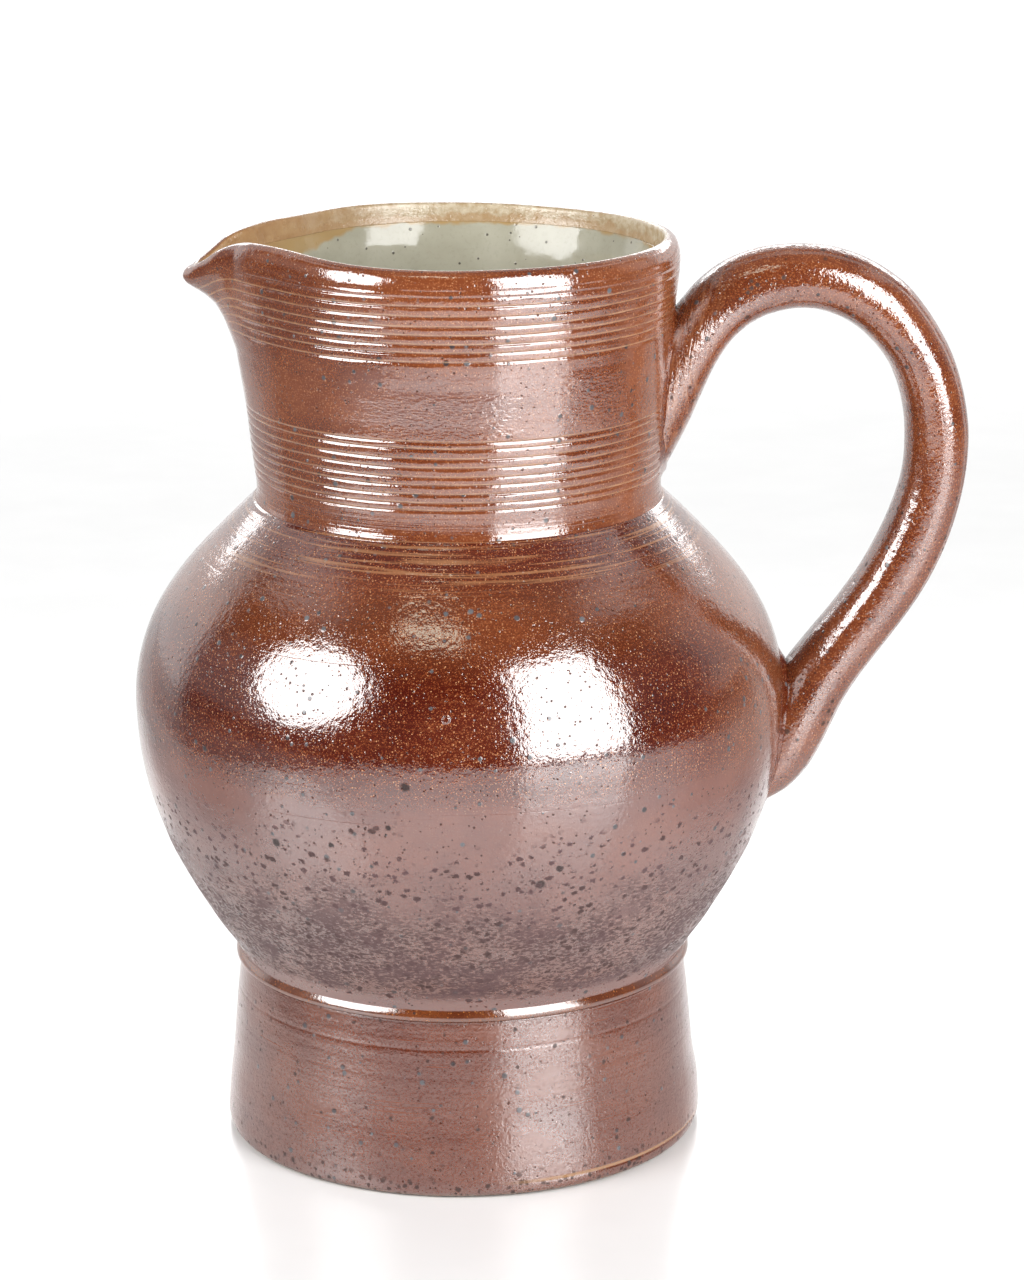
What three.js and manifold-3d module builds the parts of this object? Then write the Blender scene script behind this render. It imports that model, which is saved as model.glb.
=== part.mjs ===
// Wheel-thrown stoneware water jug: foot, belly, ribbed neck with a pulled
// spout, pulled strap handle luted on at two places, glaze lining inside.
// Millimetres, +Z up. The vessel axis is Z, the underside lies on z = 0,
// the handle points to +X and the spout to -X.
import * as THREE from 'three';
import { mergeVertices } from 'three/addons/utils/BufferGeometryUtils.js';
import Module from 'manifold-3d';

// ---------------------------------------------------------------- sizes
const RIM_Z = 217.5;            // crest of the rim
const FOOT_TOP_Z = 42.4;        // foot meets belly
const NECK_SEAM_Z = 156.4;      // belly meets neck, at the crease
const GAP = 0.3;                // clear gap between neighbouring pieces
const BASE_T = 7.0;             // thickness of the base
const LINING_T = 0.6;           // thickness of the inner glaze
const LINING_GAP = 0.42;        // clear gap behind it
const LINING_TOP_Z = 211.5;     // the glaze stops short of the rim
const LUTE_T = 0.7;             // thickness of the luting clay under the handle
const GROOVE_D = 0.55;          // depth of the combed grooves
const SPOUT_REACH = 12.6;       // how far the beak is pulled past the rim circle
const SPOUT_DROOP = 6.6;        // how far its tip hangs below the rim
const SEG = 48;                 // facets round the foot and belly
const NECK_SEG = 48;            // facets round the neck, closer at the spout
const NECK_CROWD = 0.65;        // how strongly they crowd at the spout

// outside of the foot, [radius, height]
const FOOT_OUT = [[56.3, 0], [57.5, 1.0], [57.8, 2.6], [57.5, 6], [57.1, 11], [56.3, 18],
  [55.6, 26], [54.85, 34], [54.35, 38.5], [53.9, FOOT_TOP_Z]];
// outside of the belly
const BELLY_OUT = [[54.3, 45.5], [56.2, 49], [60.3, 55], [64.0, 61], [67.35, 67], [70.4, 73],
  [73.05, 80], [75.2, 87], [76.7, 94], [77.5, 102], [77.7, 109], [76.95, 116], [75.0, 123],
  [72.3, 129], [68.5, 135], [63.7, 141], [58.1, 147], [52.0, 153], [49.2, 155.6],
  [48.6, NECK_SEAM_Z - GAP / 2]];
// outside of the neck, without its grooves
const NECK_OUT = [[48.0, NECK_SEAM_Z + GAP / 2], [47.9, 158.5], [48.1, 161.5], [49.4, 174],
  [49.8, 181], [50.3, 188], [51.4, 203], [52.2, 210], [52.35, 214]];
const RIM = [[52.1, 215.8], [51.3, 217.1], [50.1, RIM_Z], [48.8, 217.1], [48.0, 215.8]];
// inside of the vessel from the base to below the rim
const INSIDE = [[0, BASE_T], [46, BASE_T], [48.2, 8.2], [49, 10.5], [48.4, 22], [47.3, 40],
  [47.5, 44], [49.5, 48], [54, 54], [60.6, 63], [66, 73], [69.7, 84], [71.7, 95], [72.2, 106],
  [71, 118], [67.6, 128], [61.8, 137.5], [53.5, 147.4], [45.5, 155.5], [43.6, 158.2], [43.6, 162],
  [44.3, 172], [45.1, 183], [45.85, 193], [46.45, 201], [46.8, 206], [47.1, 209.4], [47.4, 212],
  [47.7, 214.3]];

// heights of the combed grooves
const GROOVES_LOW = [162.8, 164.5, 166.6, 168.8, 170.7, 172.9, 175.0, 177.4, 178.9];
const GROOVES_HIGH = [197.3, 199.4, 201.3, 203.4, 205.4, 207.85, 210.2, 212.65];

// spout: angle from -X in degrees against its share of the pull
const SPOUT_PLAN = [[0, 1], [3.75, 0.82], [6.9, 0.61], [10.8, 0.42], [14, 0.25], [17, 0.14],
  [25, 0], [32, -0.1], [38, -0.13], [48, -0.08], [60, -0.02], [70, 0], [180, 0]];
// the same low in the throat, where it is rounder
const SPOUT_PLAN_LOW = [[0, 1], [8, 0.86], [16, 0.55], [24, 0.25], [32, 0.07], [42, 0], [180, 0]];
// height against the share of the pull, and of the droop
const SPOUT_RISE = [[158, 0], [175, 0.02], [182, 0.054], [193, 0.13], [201, 0.3], [206, 0.42],
  [209.5, 0.585], [213, 0.85], [216, 0.95], [RIM_Z, 1]];
const DROOP_RISE = [[170, 0], [182, 0.04], [193, 0.15], [201, 0.3], [206, 0.5], [209.5, 0.67],
  [213, 0.82], [216, 0.96], [RIM_Z, 1]];

// handle: pairs of points on its outer and inner edge, [x, z, x, z, half width]
const HANDLE = [
  [43, 196, 43, 161, 13.2], [48.5, 198.4, 47.4, 161.6, 13.2], [52.3, 202.1, 50.6, 166.3, 12.8],
  [56.5, 207.1, 54.3, 173.5, 12.0], [61, 210.6, 57.4, 180.8, 11.3], [66, 213.2, 60.8, 188, 10.8],
  [71, 214.7, 64.8, 193.7, 10.5], [76, 215.4, 70.5, 198.2, 10.4], [80.8, 215.5, 77.5, 200.3, 10.3],
  [86, 215.2, 83.5, 200.4, 10.3], [91, 214, 88, 199.2, 10.3], [96, 212.1, 91.8, 197.4, 10.3],
  [101, 209.2, 95.2, 195, 10.2], [106, 205.4, 98.8, 191.3, 10.2], [110, 200.5, 101.6, 187.4, 10.2],
  [113.8, 194.7, 103.4, 183.2, 10.2], [117, 188.5, 104.8, 178.6, 10.1],
  [119.5, 180.3, 105.6, 173.8, 10.1], [120.9, 172, 105.8, 169, 10.1], [120.8, 165, 105.7, 164, 10],
  [120.1, 158.5, 105, 159.4, 10], [118.7, 152, 103.6, 154.6, 10], [116.6, 145, 101.5, 149, 10],
  [113.9, 138.4, 98.7, 143.2, 10], [110.7, 132.2, 95.6, 137.5, 10], [107, 126.4, 92.2, 132.6, 10],
  [103, 120.8, 88.6, 127.6, 10.1], [99, 115.4, 84.9, 123.1, 10.3], [95.4, 110.5, 81.9, 119.2, 10.6],
  [92, 105, 79.3, 115.8, 11], [89.3, 99.3, 77.3, 112.8, 11.4], [86.5, 93.5, 75, 109, 11.8],
  [83.4, 88, 72.5, 105, 12], [79, 83.4, 70.5, 100, 12], [74, 80.3, 68, 96, 12]];

// ---------------------------------------------------------------- helpers
const wasm = await Module();
wasm.setup();

const table = (t, x) => {
  if (x <= t[0][0]) return t[0][1];
  for (let i = 1; i < t.length; i++) {
    if (x <= t[i][0]) {
      const f = (x - t[i - 1][0]) / (t[i][0] - t[i - 1][0]);
      return t[i - 1][1] + f * (t[i][1] - t[i - 1][1]);
    }
  }
  return t[t.length - 1][1];
};
const byHeight = (profile) => profile.map(([r, z]) => [z, r]);
const smooth = (a, b, x) => {
  const t = Math.min(1, Math.max(0, (x - a) / (b - a)));
  return t * t * (3 - 2 * t);
};

// welds a geometry into a closed mesh that faces outwards
function tidy(geometry) {
  geometry.deleteAttribute('normal');
  geometry.deleteAttribute('uv');
  const g = mergeVertices(geometry, 1e-4);
  const p = g.attributes.position;
  const src = g.index.array;
  const out = [];
  let volume = 0;
  const a = new THREE.Vector3();
  const b = new THREE.Vector3();
  const c = new THREE.Vector3();
  for (let i = 0; i < src.length; i += 3) {
    const [u, v, w] = [src[i], src[i + 1], src[i + 2]];
    if (u === v || v === w || u === w) continue;
    out.push(u, v, w);
    a.fromBufferAttribute(p, u);
    b.fromBufferAttribute(p, v);
    c.fromBufferAttribute(p, w);
    volume += a.dot(b.cross(c));
  }
  if (volume < 0) for (let i = 0; i < out.length; i += 3) [out[i], out[i + 1]] = [out[i + 1], out[i]];
  g.setIndex(out);
  return g;
}

// turns a profile of [radius, height] round Z; move(vertex, index in profile)
function turn(profile, segments, move) {
  const g = new THREE.LatheGeometry(profile.map(([r, z]) => new THREE.Vector2(r, z)), segments);
  g.rotateX(Math.PI / 2);
  if (move) {
    const p = g.attributes.position;
    const v = new THREE.Vector3();
    for (let i = 0; i < p.count; i++) {
      v.fromBufferAttribute(p, i);
      move(v, i % profile.length);
      p.setXYZ(i, v.x, v.y, v.z);
    }
  }
  return tidy(g);
}

function toManifold(g) {
  return new wasm.Manifold(new wasm.Mesh({
    numProp: 3,
    vertProperties: new Float32Array(g.attributes.position.array),
    triVerts: new Uint32Array(g.index.array),
  }));
}
function fromManifold(m) {
  const mesh = m.getMesh();
  const g = new THREE.BufferGeometry();
  g.setAttribute('position', new THREE.BufferAttribute(new Float32Array(mesh.vertProperties), 3));
  g.setIndex(Array.from(mesh.triVerts));
  return tidy(g);
}

// pulls the spout out of a turned neck: columns crowd at -X, then the wall
// is drawn out and its tip let down
function pullSpout(v) {
  const r = Math.hypot(v.x, v.y);
  if (r < 1e-6) return 1;
  let a = Math.atan2(v.y, -v.x);
  a -= NECK_CROWD * Math.sin(a);
  const deg = Math.abs(a) * 180 / Math.PI;
  const rise = table(SPOUT_RISE, v.z);
  const mix = smooth(196, 213, v.z);
  const plan = table(SPOUT_PLAN, deg) * mix + table(SPOUT_PLAN_LOW, deg) * (1 - mix);
  const reach = r + SPOUT_REACH * rise * plan;
  const drop = SPOUT_DROOP * table(DROOP_RISE, v.z) * Math.exp(-((deg / 9) ** 2));
  v.set(-reach * Math.cos(a), reach * Math.sin(a), v.z - drop);
  return smooth(11, 28, deg);
}

const offset = (profile, d) => profile.map(([r, z]) => [r + d, z]);

// ---------------------------------------------------------------- pieces
const part = new THREE.Group();
part.name = 'stoneware_water_jug';
function piece(name, geometry, color, roughness) {
  const mesh = new THREE.Mesh(geometry, new THREE.MeshStandardMaterial({ color, roughness, metalness: 0 }));
  mesh.name = name;
  part.add(mesh);
}
const BROWN = 0x8c5c48;
const BROWN_DARK = 0x7a5346;
const insideBetween = (lo, hi) => INSIDE.filter(([r, z]) => z > lo && z < hi);
const insideAt = (z) => table(byHeight(INSIDE.slice(3)), z);

// foot: a thick thrown cup, flat underneath
{
  const profile = [[0, 0], ...FOOT_OUT, [insideAt(FOOT_TOP_Z), FOOT_TOP_Z],
    ...insideBetween(8, FOOT_TOP_Z - 1).reverse(), [46, BASE_T], [0, BASE_T]];
  piece('foot', turn(profile, SEG), BROWN, 0.3);
}

// luting bead: a rolled coil in the corner between foot and belly
const BEAD_IN = 52.7;
const BEAD_LO = FOOT_TOP_Z + GAP;
const BEAD_HI = BELLY_OUT[0][1] - GAP;
{
  const profile = [[BEAD_IN, BEAD_LO], [54.2, BEAD_LO], [54.9, 43.3], [55.15, 43.95], [54.95, 44.65],
    [54.3, BEAD_HI], [BEAD_IN, BEAD_HI], [BEAD_IN, BEAD_LO]];
  piece('foot_luting_bead', turn(profile, SEG), 0xa2622f, 0.22);
}

// belly: stands on the foot inside the bead, with a raised lip for the neck
const LIP_R = 45.6;
const LIP_Z = NECK_SEAM_Z + 1.6;
{
  const lo = FOOT_TOP_Z + GAP;
  const rebate = BEAD_IN - GAP;
  const profile = [[insideAt(lo), lo], [rebate, lo], [rebate, BELLY_OUT[0][1]], ...BELLY_OUT,
    [LIP_R, NECK_SEAM_Z - GAP / 2], [LIP_R, LIP_Z], [insideAt(LIP_Z), LIP_Z],
    ...insideBetween(lo + 0.5, LIP_Z - 0.5).reverse(), [insideAt(lo), lo]];
  piece('belly', turn(profile, SEG), BROWN_DARK, 0.25);
}

// neck: combed in two bands, rolled rim, spout pulled to -X
{
  const smoothR = byHeight(NECK_OUT);
  const lines = [...GROOVES_LOW, ...GROOVES_HIGH];
  const outer = [];
  for (let i = 0; i < lines.length; i++) {
    const z = lines[i];
    const before = i === 0 || i === GROOVES_LOW.length ? z - 1 : (z + lines[i - 1]) / 2;
    outer.push([table(smoothR, before), before, 0], [table(smoothR, z) - GROOVE_D, z, GROOVE_D]);
    if (i === GROOVES_LOW.length - 1 || i === lines.length - 1) {
      const after = z + 1;
      outer.push([table(smoothR, after), after, 0]);
    }
  }
  const plain = NECK_OUT.filter(([r, z]) => z < 161 || (z > 180.2 && z < 196) || z > 213.8);
  const wall = [...outer, ...plain.map(([r, z]) => [r, z, 0])].sort((p, q) => p[1] - q[1]);
  const seam = LIP_Z + GAP;
  const profile = [[LIP_R + GAP, NECK_SEAM_Z + GAP / 2, 0], ...wall, ...RIM.map(([r, z]) => [r, z, 0]),
    ...insideBetween(160, 216).reverse().map(([r, z]) => [r, z, 0]),
    [insideAt(seam), seam, 0], [LIP_R + GAP, seam, 0], [LIP_R + GAP, NECK_SEAM_Z + GAP / 2, 0]];
  const g = turn(profile.map(([r, z]) => [r, z]), NECK_SEG, (v, j) => {
    const keep = pullSpout(v);
    const fill = profile[j][2] * (1 - keep);
    if (fill > 0) {
      const r = Math.hypot(v.x, v.y);
      v.x *= (r + fill) / r;
      v.y *= (r + fill) / r;
    }
  });
  piece('neck_collar', g, BROWN, 0.3);
}

// glaze lining: a thin skin of glaze on the whole inside, up to below the rim
{
  const top = table(byHeight(INSIDE.slice(3)), LINING_TOP_Z);
  const skin = [...INSIDE.filter(([r, z]) => z < LINING_TOP_Z - 1), [top, LINING_TOP_Z]];
  const inward = (d) => skin.map(([r, z], i) => {
    const p = skin[Math.max(0, i - 1)];
    const q = skin[Math.min(skin.length - 1, i + 1)];
    const n = new THREE.Vector2(-(q[1] - p[1]), q[0] - p[0]).normalize();
    return i === 0 ? [0, z + d] : [r + n.x * d, i === skin.length - 1 ? z : z + n.y * d];
  });
  const profile = [...inward(LINING_GAP), ...inward(LINING_GAP + LINING_T).reverse()];
  piece('glaze_lining', turn(profile, NECK_SEG, (v) => { pullSpout(v); }), 0x8b8d7c, 0.2);
}

// solids of revolution that the handle is fitted against
const closed = (profile) => [[0, profile[0][1]], ...profile, [0, profile[profile.length - 1][1]]];
const NECK_FIT = [[48.0, 157], [48.1, 161.5], [49.4, 174], [49.8, 181], [50.3, 188], [51.4, 203], [52.2, 210], [52.4, 217]];
const BELLY_FIT = BELLY_OUT.filter(([r, z]) => z > 60 && z < 150);
const SEAT = GAP + 0.05;
const ROOT = SEAT + LUTE_T + GAP + 0.05;

// handle: a straight strap of clay, bent to the run of its two edges
{
  const corner = 0.62;
  const section = new THREE.Shape();
  const n = 18;
  for (let i = 0; i < n; i++) {
    const t = (i / n) * Math.PI * 2;
    const x = Math.sign(Math.cos(t)) * Math.abs(Math.cos(t)) ** corner;
    const y = Math.sign(Math.sin(t)) * Math.abs(Math.sin(t)) ** (corner + 0.2);
    if (i === 0) section.moveTo(x, y); else section.lineTo(x, y);
  }
  section.closePath();
  const steps = HANDLE.length - 1;
  const g = new THREE.ExtrudeGeometry(section, { depth: 1, steps, bevelEnabled: false });
  const p = g.attributes.position;
  for (let i = 0; i < p.count; i++) {
    const [ox, oz, ix, iz, half] = HANDLE[Math.round(p.getZ(i) * steps)];
    const up = p.getY(i);
    p.setXYZ(i, (ox + ix) / 2 + up * (ox - ix) / 2, p.getX(i) * half, (oz + iz) / 2 + up * (oz - iz) / 2);
  }
  const strap = toManifold(tidy(g))
    .subtract(toManifold(turn(closed(offset(NECK_FIT, ROOT)), SEG)))
    .subtract(toManifold(turn(closed(offset(BELLY_FIT, ROOT)), SEG)));
  piece('handle', fromManifold(strap), BROWN, 0.28);
}

// luting clay: smeared pads between the handle's ends and the wall
function pad(name, fit, z, halfHeight, halfWidth) {
  const shell = turn([...offset(fit, SEAT), ...offset(fit, SEAT + LUTE_T).reverse(), [fit[0][0] + SEAT, fit[0][1]]], SEG);
  const outline = new THREE.Shape();
  outline.absellipse(0, 0, halfWidth, halfHeight, 0, Math.PI * 2);
  const plug = new THREE.ExtrudeGeometry(outline, { depth: 60, steps: 1, bevelEnabled: false, curveSegments: 28 });
  plug.rotateX(Math.PI / 2);
  plug.rotateZ(Math.PI / 2);
  plug.translate(30, 0, z);
  piece(name, fromManifold(toManifold(shell).intersect(toManifold(tidy(plug)))), BROWN_DARK, 0.3);
}
pad('upper_luting_clay', NECK_FIT, 182, 21.5, 15.5);
pad('lower_luting_clay', BELLY_FIT, 97.5, 21, 15.5);

export default part;
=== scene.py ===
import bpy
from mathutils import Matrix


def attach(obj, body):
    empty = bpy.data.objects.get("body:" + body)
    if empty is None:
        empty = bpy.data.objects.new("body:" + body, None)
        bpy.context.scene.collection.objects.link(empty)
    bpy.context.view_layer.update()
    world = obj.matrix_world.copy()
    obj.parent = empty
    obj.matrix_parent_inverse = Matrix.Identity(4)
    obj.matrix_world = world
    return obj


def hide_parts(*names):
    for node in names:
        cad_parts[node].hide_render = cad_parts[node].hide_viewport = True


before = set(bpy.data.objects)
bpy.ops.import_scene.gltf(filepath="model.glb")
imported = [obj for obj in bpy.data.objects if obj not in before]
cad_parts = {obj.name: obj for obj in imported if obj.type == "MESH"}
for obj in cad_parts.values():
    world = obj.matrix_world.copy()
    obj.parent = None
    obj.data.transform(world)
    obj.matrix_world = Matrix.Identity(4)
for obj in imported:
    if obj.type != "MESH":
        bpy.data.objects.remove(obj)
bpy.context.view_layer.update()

import math

import bpy
import numpy as np
from mathutils import Matrix, Vector

MM = 0.001
scene = bpy.context.scene

# ------------------------------------------------------------------ curves


def spline(points, lam=0.0):
    """A smooth curve through (x, y) points. lam above 0 lets it pass beside them to stay even."""
    x, y = np.array(points, float).T
    if lam > 0:
        g = np.arange(x[0], x[-1] + 0.5, 0.5)
        w = np.zeros((len(x), len(g)))
        for k, v in enumerate(x):
            i = min(int((v - g[0]) / 0.5), len(g) - 2)
            f = (v - g[i]) / 0.5
            w[k, i], w[k, i + 1] = 1 - f, f
        d = np.diff(np.eye(len(g)), 3, axis=0)
        s = np.linalg.solve(w.T @ w + lam * d.T @ d + 1e-9 * np.eye(len(g)), w.T @ y)
        x, y = g, s
    n = len(x)
    h = np.diff(x)
    a = np.zeros((n, n))
    b = np.zeros(n)
    a[0, 0] = a[-1, -1] = 1
    for i in range(1, n - 1):
        a[i, i - 1], a[i, i], a[i, i + 1] = h[i - 1], 2 * (h[i - 1] + h[i]), h[i]
        b[i] = 6 * ((y[i + 1] - y[i]) / h[i] - (y[i] - y[i - 1]) / h[i - 1])
    m = np.linalg.solve(a, b)

    def f(v):
        v = np.asarray(v, float)
        i = np.clip(np.searchsorted(x, v) - 1, 0, n - 2)
        t = np.clip(v, x[0], x[-1])
        p, q = x[i + 1] - t, t - x[i]
        return (m[i] * p**3 + m[i + 1] * q**3) / (6 * h[i]) + (y[i] / h[i] - m[i] * h[i] / 6) * p + (y[i + 1] / h[i] - m[i + 1] * h[i] / 6) * q

    return f


def path(points, step):
    """Catmull-Rom through 2-D points, sampled about every step millimetres."""
    p = np.array(points, float)
    p = np.vstack([2 * p[0] - p[1], p, 2 * p[-1] - p[-2]])
    out = []
    for i in range(1, len(p) - 2):
        p0, p1, p2, p3 = p[i - 1 : i + 3]
        n = max(1, int(math.ceil(np.linalg.norm(p2 - p1) / step)))
        for k in range(n):
            t = k / n
            d1 = np.linalg.norm(p1 - p0) ** 0.5 + 1e-9
            d2 = np.linalg.norm(p2 - p1) ** 0.5 + 1e-9
            d3 = np.linalg.norm(p3 - p2) ** 0.5 + 1e-9
            t0, t1, t2, t3 = 0, d1, d1 + d2, d1 + d2 + d3
            u = t1 + t * d2
            a1 = (t1 - u) / d1 * p0 + u / d1 * p1
            a2 = (t2 - u) / d2 * p1 + (u - t1) / d2 * p2
            a3 = (t3 - u) / d3 * p2 + (u - t2) / d3 * p3
            b1 = (t2 - u) / (t2 - t0) * a1 + (u - t0) / (t2 - t0) * a2
            b2 = (t3 - u) / (t3 - t1) * a2 + (u - t1) / (t3 - t1) * a3
            out.append((t2 - u) / d2 * b1 + (u - t1) / d2 * b2)
    out.append(p[-2])
    return np.array(out)


def sstep(a, b, x):
    t = np.clip((np.asarray(x, float) - a) / (b - a), 0, 1)
    return t * t * (3 - 2 * t)


def table(points, x):
    a = np.array(points, float)
    return np.interp(x, a[:, 0], a[:, 1])


# ------------------------------------------------------------------ meshes


def mesh_object(name, verts, faces, uvs, crease=None):
    v = np.asarray(verts, float) * MM
    vol = 0.0
    for f in faces:
        a = v[f[0]]
        for k in range(1, len(f) - 1):
            b, c = v[f[k]], v[f[k + 1]]
            vol += a[0] * (b[1] * c[2] - b[2] * c[1]) + a[1] * (b[2] * c[0] - b[0] * c[2]) + a[2] * (b[0] * c[1] - b[1] * c[0])
    if vol < 0:
        faces = [tuple(reversed(f)) for f in faces]
        uvs = [tuple(reversed(u)) for u in uvs]
    me = bpy.data.meshes.new(name)
    me.from_pydata(v.tolist(), [], [tuple(int(i) for i in f) for f in faces])
    layer = me.uv_layers.new(name="UVMap")
    layer.data.foreach_set("uv", np.array([c for u in uvs for p in u for c in p], float))
    me.polygons.foreach_set("use_smooth", [True] * len(me.polygons))
    me.update()
    ob = bpy.data.objects.new(name, me)
    scene.collection.objects.link(ob)
    return ob


def grid_faces(n, m, wrap_rows, start=0):
    """Quads of n rows by m columns, closed round the columns, with their uv in 0..1."""
    faces, uvs = [], []
    rows = n if wrap_rows else n - 1
    for i in range(rows):
        a, b = start + i * m, start + ((i + 1) % n) * m
        v0, v1 = i / rows, (i + 1) / rows
        for j in range(m):
            k = (j + 1) % m
            faces.append((a + j, a + k, b + k, b + j))
            u0, u1 = j / m, (j + 1) / m
            uvs.append(((u0, v0), (u1, v0), (u1, v1), (u0, v1)))
    return faces, uvs


def lathe(name, prof, cols, shape, marks=None):
    """Turns a profile of (r, z) round Z. shape(R, Z, A, rows) gives the moved R and Z.
    A profile that starts and ends on the axis is closed there; any other closes on itself."""
    prof = np.asarray(prof, float)
    axis = prof[0, 0] < 1e-6
    body = prof[1:-1] if axis else prof
    n, m = len(body), len(cols)
    r = np.repeat(body[:, :1], m, 1)
    z = np.repeat(body[:, 1:], m, 1)
    a = np.repeat(np.asarray(cols)[None, :], n, 0)
    r, z = shape(r, z, a)
    v = np.stack([-r * np.cos(a), r * np.sin(a), z], -1).reshape(-1, 3)
    faces, uvs = grid_faces(n, m, not axis)
    if axis:
        lo, hi = len(v), len(v) + 1
        v = np.vstack([v, [[0, 0, prof[0, 1]], [0, 0, prof[-1, 1]]]])
        last = (n - 1) * m
        for j in range(m):
            k = (j + 1) % m
            faces.append((lo, k, j))
            uvs.append((((j + 0.5) / m, 0), ((j + 1) / m, 0.001), (j / m, 0.001)))
            faces.append((hi, last + j, last + k))
            uvs.append((((j + 0.5) / m, 1), (j / m, 0.999), ((j + 1) / m, 0.999)))
    ob = mesh_object(name, v, faces, uvs)
    if marks is not None:
        for key, values in marks.items():
            at = ob.data.attributes.new(key, "FLOAT", "POINT")
            full = np.zeros(len(v))
            full[: n * m] = np.broadcast_to(np.asarray(values(r, z, a), float), (n, m)).reshape(-1)
            at.data.foreach_set("value", full)
    return ob


# ------------------------------------------------------------------ sizes, in millimetres

RIM_Z = 218.2
FOOT_TOP = 42.4
SEAM = 156.4

FOOT_OUT = [(56.0, 0), (56.9, 0.35), (57.45, 1.2), (57.75, 2.6), (57.6, 6), (57.15, 11), (56.3, 18), (55.6, 26), (54.85, 34), (54.35, 38.5), (53.9, FOOT_TOP)]
BELLY = [(44.9, 54.15), (45.5, 54.35), (46.5, 54.75), (48, 55.65), (50, 56.85), (53, 59.0), (57, 61.6), (61, 64.0), (65, 66.3), (69, 68.4), (73, 70.4), (77, 71.95), (81, 73.4), (85, 74.7), (89, 75.7), (93, 76.5), (97, 77.1), (101, 77.45), (105, 77.65), (109, 77.7), (113, 77.4), (117, 76.7), (121, 75.65), (125, 74.2), (129, 72.3), (133, 69.9), (137, 67.0), (141, 63.7), (145, 60.0), (149, 56.1), (153, 52.0), (155, 49.9), (156.2, 48.7)]
NECK = [(154.8, 49.0), (155.6, 48.62), (156.5, 48.32), (157.5, 48.1), (158.6, 47.98), (160.0, 47.97), (161.5, 48.1), (164, 48.4), (174, 49.35), (181, 49.8), (188, 50.3), (203, 51.4), (208, 52.0), (211, 52.3), (213.2, 52.4)]
RIM = [(52.4, 213.2), (52.32, 214.2), (52.15, 215.3), (51.82, 216.3), (51.35, 217.1), (50.75, 217.7), (50.05, 218.05), (49.3, 218.2), (48.8, 218.0), (48.5, 217.4), (48.35, 216.4), (48.2, 214.9)]
INSIDE = [(46, 7.0), (48.2, 8.2), (49, 10.5), (48.4, 22), (47.3, 40), (47.5, 44), (49.5, 48), (54, 54), (60.6, 63), (66, 73), (69.7, 84), (71.7, 95), (72.2, 106), (71, 118), (67.6, 128), (61.8, 137.5), (53.5, 147.4), (45.5, 155.5), (43.6, 158.2), (43.6, 162), (44.3, 172), (44.9, 183), (45.3, 192), (45.6, 198), (46.05, 203), (46.65, 207), (47.25, 210), (47.75, 212.4), (48.2, 214.9)]

GROOVES_LOW = [163.0, 164.8, 166.9, 169.1, 171.0, 173.2, 175.3, 177.6, 179.15]
GROOVES_HIGH = [197.6, 199.75, 201.7, 203.8, 205.85, 208.25, 210.6, 212.75, 214.0]
SHOULDER_LINES = [(155.5, 0.2, 0.32), (154.5, 0.13, 0.28), (153.6, 0.05, 0.22), (152.8, 0.07, 0.24), (151.8, 0.04, 0.22), (150.8, 0.06, 0.24), (149.8, 0.035, 0.22), (148.6, 0.04, 0.22), (147.2, 0.02, 0.22), (145.6, 0.02, 0.22)]

SPOUT_REACH, SPOUT_DROOP = 12.2, 6.6
SPOUT_PLAN = [(0, 1), (3.75, 0.82), (6.9, 0.61), (10.8, 0.42), (14, 0.25), (17, 0.14), (25, 0), (32, -0.1), (38, -0.13), (48, -0.08), (60, -0.02), (70, 0), (180, 0)]
SPOUT_PLAN_LOW = [(0, 1), (8, 0.86), (16, 0.55), (24, 0.25), (32, 0.07), (42, 0), (180, 0)]
SPOUT_RISE = [(158, 0), (175, 0.02), (182, 0.054), (193, 0.13), (201, 0.3), (206, 0.42), (209.5, 0.6), (213, 0.93), (214.8, 1.0), (RIM_Z, 1)]
DROOP_RISE = [(170, 0), (182, 0.04), (193, 0.15), (201, 0.3), (206, 0.5), (209.5, 0.67), (213, 0.82), (216, 0.96), (RIM_Z, 1)]

# how far the rim stands above or below its mean height, by the angle from -X (front is negative)
LIFT = np.array([(-180, 0.2), (-150, 0.35), (-124, 0.4), (-101, 0.5), (-85, 0.45), (-75, 0.55), (-64, 0.8), (-57, 1.0), (-50, 1.35), (-42, 1.65), (-30, 1.8), (-22, 1.7), (-15, 1.25), (-9, 0.5), (0, 0), (18, 0.05), (25, 0.25), (37, 0.1), (48, 0.0), (58, 0.15), (74, -0.1), (85, -0.35), (97, -0.45), (117, -0.75), (133, -0.7), (150, -0.4), (165, 0.0), (180, 0.2)])
LIFT = np.stack([np.arange(-180, 181, 1.0), np.interp(np.arange(-180, 181, 1.0), LIFT[:, 0], LIFT[:, 1])], 1)
LIFT[:, 1] = np.convolve(np.pad(LIFT[:-1, 1], 8, mode="wrap"), np.hanning(17) / np.hanning(17).sum(), "valid")[:361 - 1].tolist() + [0.0]
LIFT[-1, 1] = LIFT[0, 1]

belly_r = spline(BELLY, lam=2.0)
neck_r = spline(NECK, lam=0.5)


def even_table(points, width):
    """A table rounded off by a moving average of the given half width."""
    a = np.array(points, float)

    def f(x):
        acc = 0.0
        offs = np.linspace(-1, 1, 9)
        wts = 1 - np.abs(offs) * 0.9
        for o, w in zip(offs, wts):
            acc = acc + w * np.interp(np.abs(np.asarray(x, float) + o * width), a[:, 0], a[:, 1])
        return acc / wts.sum()

    return f


plan_hi = even_table(SPOUT_PLAN, 1.3)
plan_lo = even_table(SPOUT_PLAN_LOW, 4.0)
rise = even_table(SPOUT_RISE, 1.6)
droop = even_table(DROOP_RISE, 2.2)
PLAN_TOP = float(plan_hi(0.0))


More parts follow.
